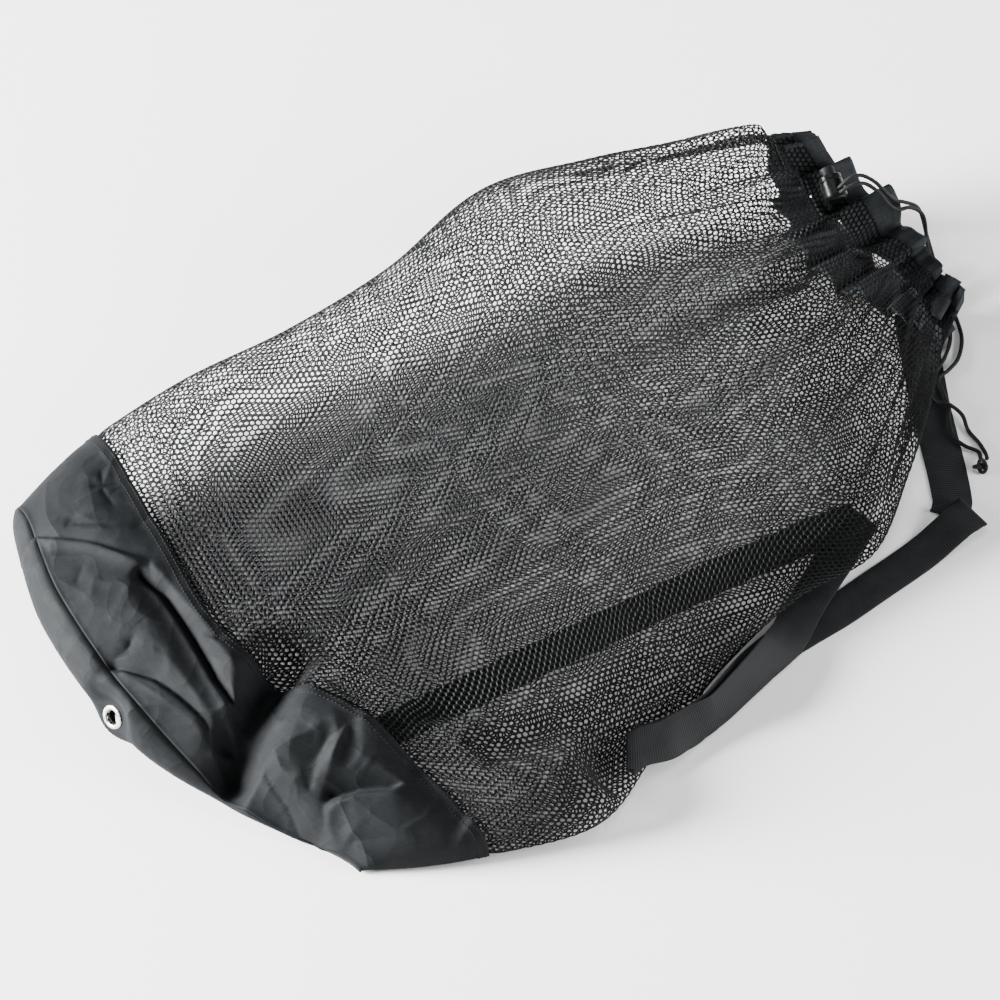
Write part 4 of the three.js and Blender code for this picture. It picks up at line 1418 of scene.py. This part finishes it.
def lattice_faces(rows, columns, odd_start):
    """Triangles between the rows of a lattice that closes on itself."""
    index = np.arange(rows * columns).reshape(rows, columns)
    faces = []
    for row in range(rows - 1):
        here, above = index[row], index[row + 1]
        beside, above_beside = np.roll(here, -1), np.roll(above, -1)
        if (row + odd_start) % 2 == 0:
            faces += [np.stack((here, above, beside), axis=1)]
            faces += [np.stack((beside, above, above_beside), axis=1)]
        else:
            faces += [np.stack((here, above, above_beside), axis=1)]
            faces += [np.stack((here, above_beside, beside), axis=1)]
    return np.concatenate(faces)


class MESHBAG_OT_net(Operator):
    """Make the net body from a lattice on the bag's surface"""

    bl_idname = "mesh_bag.net"
    bl_label = "Net body"

    def execute(self, context):
        sizes = context.scene.mesh_bag_sizes
        rows = sizes.net_rows + 2
        lattice = net_lattice(rows, sizes.net_columns, sizes.net_rise / MM)
        tree = net_tree()
        values = {
            "Opening": sizes.net_opening,
            "Yarn height": sizes.net_rise,
            "Material": bag_materials()["net"],
        }
        stops = np.linspace(0, rows - 2, NET_BANDS + 1).astype(int)
        for band in range(NET_BANDS):
            first = stops[band]
            part = lattice[first : stops[band + 1] + 2]
            faces = lattice_faces(len(part), sizes.net_columns, first % 2)
            piece = new_piece(f"net_band_{band + 1}", part.reshape(-1, 3), faces)
            baked(piece, tree, values)
            if len(piece.data.polygons) == 0:
                raise RuntimeError("the net tree made no faces")
            dress(piece, values["Material"], "net", "bag", "mesh_body")
        return {"FINISHED"}


WALL_ROWS = 54
WALL_COLUMNS = 416
WALL_UNDERSIDE = 0.35
SEAM_RIDGE = 0.7
SEAM_RIDGE_WIDTH = 2.4
EDGE_FOLD_RISE = 0.5
EDGE_FOLD_WIDTH = 10.0
EDGE_FOLD_STEP = 2.0
BASE_STITCH_ROWS = (2.6, 7.8)
BASE_STITCH_RISE = 0.15
BASE_STITCH_LOWEST = 0.4


def base_wall_grid():
    """The nylon side wall's outer surface, with its seam ridge and its turned edge."""
    grid = even_grid(0, NET_SEAM, WALL_ROWS, WALL_COLUMNS, underside=WALL_UNDERSIDE)
    out = grid_normals(grid)
    steps = np.linalg.norm(np.diff(grid, axis=0), axis=2)
    walked = np.concatenate((np.zeros((1, WALL_COLUMNS)), np.cumsum(steps, axis=0)))
    ridge = SEAM_RIDGE * np.exp(-((walked / SEAM_RIDGE_WIDTH) ** 2))
    from_edge = walked[-1:] - walked
    fold = EDGE_FOLD_RISE * (1 - smooth_step(from_edge, EDGE_FOLD_WIDTH - EDGE_FOLD_STEP, EDGE_FOLD_WIDTH))
    return above_floor(grid + out * (ridge + fold)[..., None]), out, from_edge


PANEL_ROWS = 30
PANEL_COLUMNS = 160
PANEL_FULL_HEIGHT = 60
PANEL_SAG = 0.7
PANEL_RIM_STEP = 0.05
PANEL_HOLE_ROOM = 1.3
PANEL_HOLE_DEPTH = 8

# The panel lies flat round the eyelet, and blends into its bulge between these distances.
LAND_REACH = (10.5, 32.0)


def panel_grid():
    """The end panel's outer surface: it bulges between the two halves of the end seam."""
    angles = np.linspace(0, math.pi, PANEL_COLUMNS + 2)[1:-1]
    halves = []
    for side, outward in ((angles, 1), (2 * math.pi - angles, -1)):
        edge = bag_surface(np.array((0, PANEL_RIM_STEP)), side)
        out = grid_normals(edge, closed=False)[0] * outward
        rim = edge[0] + out * SEAM_RIDGE - unit(edge[1] - edge[0]) * PANEL_SET_OFF
        halves.append(above_floor(rim))
    down = np.linspace(0, 1, PANEL_ROWS)[:, None]
    grid = between(halves[0][None], halves[1][None], down[..., None])
    tall = smooth_step(halves[0][:, 2] - halves[1][:, 2], 0, PANEL_FULL_HEIGHT)
    outline = 1 - np.abs(2 * angles / math.pi - 1) ** 3
    grid[..., 0] -= PANEL_BULGE * tall * outline * np.sin(math.pi * down**PANEL_SAG)
    from_eyelet = grid - EYELET_PLACE
    stand = from_eyelet.dot(EYELET_OUT)
    away = np.linalg.norm(from_eyelet - stand[..., None] * EYELET_OUT, axis=2)
    pull = 1 - smooth_step(away, *LAND_REACH)
    grid = grid - EYELET_OUT * (pull * (stand - NYLON_WALL / 2))[..., None]
    return grid[::-1]


class MESHBAG_OT_base(Operator):
    """Make the nylon base: its side wall, its end panel and their stitching"""

    bl_idname = "mesh_bag.base"
    bl_label = "Nylon base"

    def execute(self, context):
        nylon = bag_materials()["nylon"]
        outer, out, from_edge = base_wall_grid()
        inner = above_floor(outer - out * NYLON_WALL)
        wall = wall_shell("nylon_wall", outer, inner)
        dress(wall, nylon, "nylon", "bag", "base_wall")
        panel_outer = panel_grid()
        panel_out = grid_normals(panel_outer, closed=False)
        panel_inner = above_floor(panel_outer - panel_out * NYLON_WALL)
        panel = wall_shell("nylon_end_panel", panel_outer, panel_inner, closed=False)
        radius, depth = EYELET_HOLE_RADIUS + PANEL_HOLE_ROOM, PANEL_HOLE_DEPTH
        hole = [(0, -depth), (radius, -depth), (radius, depth), (0, depth)]
        cut(panel, lathe("panel_hole", hole, 40, EYELET_PLACE, EYELET_OUT))
        dress(panel, nylon, "nylon", "bag", "base_panel")
        turned = (outer[::-1], out[::-1], from_edge[::-1])
        lines = [self.line(*turned, distance) for distance in BASE_STITCH_ROWS]
        stitched("base_stitching", lines, "nylon")
        return {"FINISHED"}

    def line(self, grid, normals, distances, wanted):
        """A line round the wall at a distance from its edge, just above the cloth."""
        made = []
        for column in range(WALL_COLUMNS):
            point = [np.interp(wanted, distances[:, column], grid[:, column, k]) for k in range(3)]
            normal = [np.interp(wanted, distances[:, column], normals[:, column, k]) for k in range(3)]
            made.append(np.array(point) + unit(np.array(normal)) * BASE_STITCH_RISE)
        return above_floor(np.array(made), BASE_STITCH_LOWEST)


EYELET_SIDES = 64
EYELET_WALL = 1.0
EYELET_FLANGE_ROUND = (1.5, 1.3)
EYELET_ROLL = 1.1
EYELET_ROLL_RISE = 0.2
EYELET_ROUND_TURNS = np.linspace(0, 1.5, 7)

# The washer behind the cloth: steps out from the hole or in from the edge, and behind the face.
WASHER_AT_HOLE = ((0, 0.5), (0.3, 0.95), (0.8, 1.1))
WASHER_AT_EDGE = ((0.9, 0.75), (0, 0.1), (0, 0))


class MESHBAG_OT_eyelet(Operator):
    """Make the nickel eyelet of the drain hole"""

    bl_idname = "mesh_bag.eyelet"
    bl_label = "Eyelet"

    def execute(self, context):
        face = NYLON_WALL / 2 + SEAM_GAP
        hole, edge = EYELET_HOLE_RADIUS, EYELET_OUTER_RADIUS
        wide, high = EYELET_FLANGE_ROUND
        turns = EYELET_ROUND_TURNS
        front = [(edge - wide + wide * math.cos(a), face + high * math.sin(a)) for a in turns]
        curl = EYELET_ROLL
        lift = face + EYELET_ROLL_RISE
        roll = [(hole + curl - curl * math.cos(a), lift + curl * math.sin(a)) for a in turns[::-1]]
        profile = [(hole + EYELET_WALL, face), (edge, face), *front[1:], *roll]
        profile += [(hole + step, -face - back) for step, back in WASHER_AT_HOLE]
        profile += [(edge - step, -face - back) for step, back in WASHER_AT_EDGE]
        profile += [(hole + EYELET_WALL, -face), (hole + EYELET_WALL, face)]
        ring = lathe("eyelet_ring", profile, EYELET_SIDES, EYELET_PLACE, EYELET_OUT)
        dress(ring, bag_materials()["nickel"], "nickel", "bag", "eyelet")
        return {"FINISHED"}


HEM_ROWS = 16
HEM_COLUMNS = 480
HEM_START = HEM_SEAM + 0.06
NET_LAP = (NET_END - HEM_START) / (LIP - HEM_START)
HEM_UNDER_NET = 1.35
HEM_UNEVEN = 0.26
LAP_STEP = (-0.02, 0.06)
HEM_STITCH_ROWS = (0.34, 0.44)
HEM_STITCH_RISE = 0.2
HEM_STITCH_LOWEST = 0.9


def hem_grid():
    """The hem's outer surface: it lies under the net's edge, and its lip is uneven."""
    full = even_grid(HEM_START, LIP, HEM_ROWS, HEM_COLUMNS, fine_columns=2880)
    out = grid_normals(full)
    turn = np.linspace(0, 2 * math.pi, HEM_COLUMNS, endpoint=False)
    uneven = 0.5 + 0.3 * np.cos(5 * turn + 2.42) + 0.2 * np.cos(11 * turn + 0.31)
    reach = np.linspace(0, 1, HEM_ROWS)[:, None] * (1 - HEM_UNEVEN * uneven)
    row = reach * (HEM_ROWS - 1)
    first = np.minimum(row.astype(int), HEM_ROWS - 2)
    column = np.arange(HEM_COLUMNS)[None, :]
    share = (row - first)[..., None]
    grid = between(full[first, column], full[first + 1, column], share)
    under = HEM_UNDER_NET * (1 - smooth_step(reach, NET_LAP + LAP_STEP[0], NET_LAP + LAP_STEP[1]))
    return grid - out * under[..., None], full, out


class MESHBAG_OT_hem(Operator):
    """Make the gathered hem that the drawcord runs in, and its stitching"""

    bl_idname = "mesh_bag.hem"
    bl_label = "Hem casing"

    def execute(self, context):
        outer, full, out = hem_grid()
        inner = outer - grid_normals(outer) * HEM_WALL
        casing = wall_shell("hem_casing_cloth", outer, inner)
        dress(casing, bag_materials()["hem_nylon"], "hem_nylon", "bag", "hem_casing")
        rows = [round(reach * (HEM_ROWS - 1)) for reach in HEM_STITCH_ROWS]
        lines = [above_floor(full[row] + out[row] * HEM_STITCH_RISE, HEM_STITCH_LOWEST) for row in rows]
        stitched("hem_stitching", lines, "hem_nylon")
        return {"FINISHED"}


class MESHBAG_OT_strap(Operator):
    """Make the ribbed webbing strap"""

    bl_idname = "mesh_bag.strap"
    bl_label = "Shoulder strap"

    def execute(self, context):
        pitch = context.scene.mesh_bag_sizes.rib_pitch / MM
        strap = ribbed_strap(pitch)
        dress(strap, bag_materials()["webbing"], "webbing", "bag", "shoulder_strap")
        return {"FINISHED"}


LOCK_SIDES = 48
SLOT_CORNER = 1.4
SLOT_CORNER_STEPS = 4

# The barrel's corners as radius and height: first those counted from its rim, with a groove, then
# those counted from its closed end. The rounds are those of the corners between the first and last.
BARREL_AT_RIM = (
    (0, 0),
    (LOCK_RADIUS, 0),
    (LOCK_RADIUS, 3.4),
    (LOCK_RADIUS - 0.5, 3.7),
    (LOCK_RADIUS - 0.5, 4.3),
    (LOCK_RADIUS, 4.6),
)
BARREL_AT_END = ((LOCK_RADIUS, 3), (LOCK_RADIUS - 2, 0), (0, 0))
BARREL_ROUNDS = (0.9, 0.15, 0.1, 0.1, 0.15, 1.6, 0.9)

# The button's corners, with a shallow dish in its face.
BUTTON_CORNERS = (
    (0, -BUTTON_SHOWING + 0.5),
    (BUTTON_RADIUS - 1.8, -BUTTON_SHOWING + 0.4),
    (BUTTON_RADIUS - 1.5, -BUTTON_SHOWING),
    (BUTTON_RADIUS, -BUTTON_SHOWING),
    (BUTTON_RADIUS, BUTTON_IN_BORE),
    (0, BUTTON_IN_BORE),
)
BUTTON_ROUNDS = (0.3, 0.2, 0.8, 0.3)


class MESHBAG_OT_lock(Operator):
    """Make the cord lock's barrel and its button"""

    bl_idname = "mesh_bag.lock"
    bl_label = "Cord lock"

    def execute(self, context):
        materials = bag_materials()
        half = LOCK_LENGTH / 2
        corners = [(radius, -half + height) for radius, height in BARREL_AT_RIM]
        corners += [(radius, half - height) for radius, height in BARREL_AT_END]
        profile = rounded_profile(corners, BARREL_ROUNDS)
        barrel = lathe("lock_barrel", profile, LOCK_SIDES, LOCK_PLACE, LOCK_AHEAD)
        bore_radius = BUTTON_RADIUS + SEAM_GAP
        bore = [(0, -BORE_DEPTH), (bore_radius, -BORE_DEPTH), (bore_radius, BORE_DEPTH), (0, BORE_DEPTH)]
        cut(barrel, lathe("lock_bore", bore, LOCK_SIDES, along_lock(0), LOCK_AHEAD))
        cut(barrel, self.slot_tool())
        barrel.data.set_sharp_from_angle(angle=SHARP_EDGE)
        dress(barrel, materials["lock_plastic"], "lock_plastic", "bag", "cord_lock_barrel")
        profile = rounded_profile(BUTTON_CORNERS, BUTTON_ROUNDS)
        button = lathe("lock_plunger", profile, LOCK_SIDES, along_lock(0), LOCK_AHEAD)
        dress(button, materials["button_plastic"], "button_plastic", "lock_button", "cord_lock_button")
        return {"FINISHED"}

    def slot_tool(self):
        """The slot that the two cords pass through."""
        side = np.cross(LOCK_AHEAD, SLOT_AHEAD)
        turn = Matrix(np.stack((side, LOCK_AHEAD, SLOT_AHEAD), axis=1).tolist()).to_4x4()
        edit = bmesh.new()
        bmesh.ops.create_cube(edit, size=MM)
        scale = Matrix.Diagonal((SLOT_WIDE, SLOT_LONG, LOCK_RADIUS * 3, 1))
        place = Matrix.Translation(Vector(along_lock(SLOT_FROM_RIM)) * MM)
        edit.transform(place @ turn @ scale)
        corner_edges = []
        for edge in edit.edges:
            ahead = (edge.verts[0].co - edge.verts[1].co).normalized()
            if abs(ahead.dot(Vector(SLOT_AHEAD))) > 0.9:
                corner_edges.append(edge)
        bmesh.ops.bevel(
            edit, geom=corner_edges, offset=SLOT_CORNER * MM, segments=SLOT_CORNER_STEPS, affect="EDGES"
        )
        mesh = bpy.data.meshes.new("lock_slot")
        edit.to_mesh(mesh)
        edit.free()
        return link_object("lock_slot", mesh)


class MESHBAG_PT_panel(Panel):
    """The mesh bag's sizes, colours and pieces"""

    bl_idname = "MESHBAG_PT_panel"
    bl_label = "Mesh Bag"
    bl_space_type = "VIEW_3D"
    bl_region_type = "UI"
    bl_category = "Mesh Bag"

    def draw(self, context):
        for group in (context.scene.mesh_bag_sizes, context.scene.mesh_bag_colours):
            for name in group.__annotations__:
                self.layout.prop(group, name)
        for operator in OPERATORS:
            self.layout.operator(operator.bl_idname)


OPERATORS = (
    MESHBAG_OT_stage,
    MESHBAG_OT_drawcord,
    MESHBAG_OT_net,
    MESHBAG_OT_base,
    MESHBAG_OT_eyelet,
    MESHBAG_OT_hem,
    MESHBAG_OT_strap,
    MESHBAG_OT_lock,
)
CLASSES = (BagSizes, BagColours, *OPERATORS, MESHBAG_PT_panel)


def register():
    for part in CLASSES:
        bpy.utils.register_class(part)
    bpy.types.Scene.mesh_bag_sizes = PointerProperty(type=BagSizes)
    bpy.types.Scene.mesh_bag_colours = PointerProperty(type=BagColours)


def unregister():
    del bpy.types.Scene.mesh_bag_colours
    del bpy.types.Scene.mesh_bag_sizes
    for part in reversed(CLASSES):
        bpy.utils.unregister_class(part)


def main():
    """Makes the whole bag."""
    register()
    bpy.ops.mesh_bag.stage()
    bpy.ops.mesh_bag.drawcord()
    bpy.ops.mesh_bag.net()
    bpy.ops.mesh_bag.base()
    bpy.ops.mesh_bag.eyelet()
    bpy.ops.mesh_bag.hem()
    bpy.ops.mesh_bag.strap()
    bpy.ops.mesh_bag.lock()


if __name__ == "__main__":
    main()
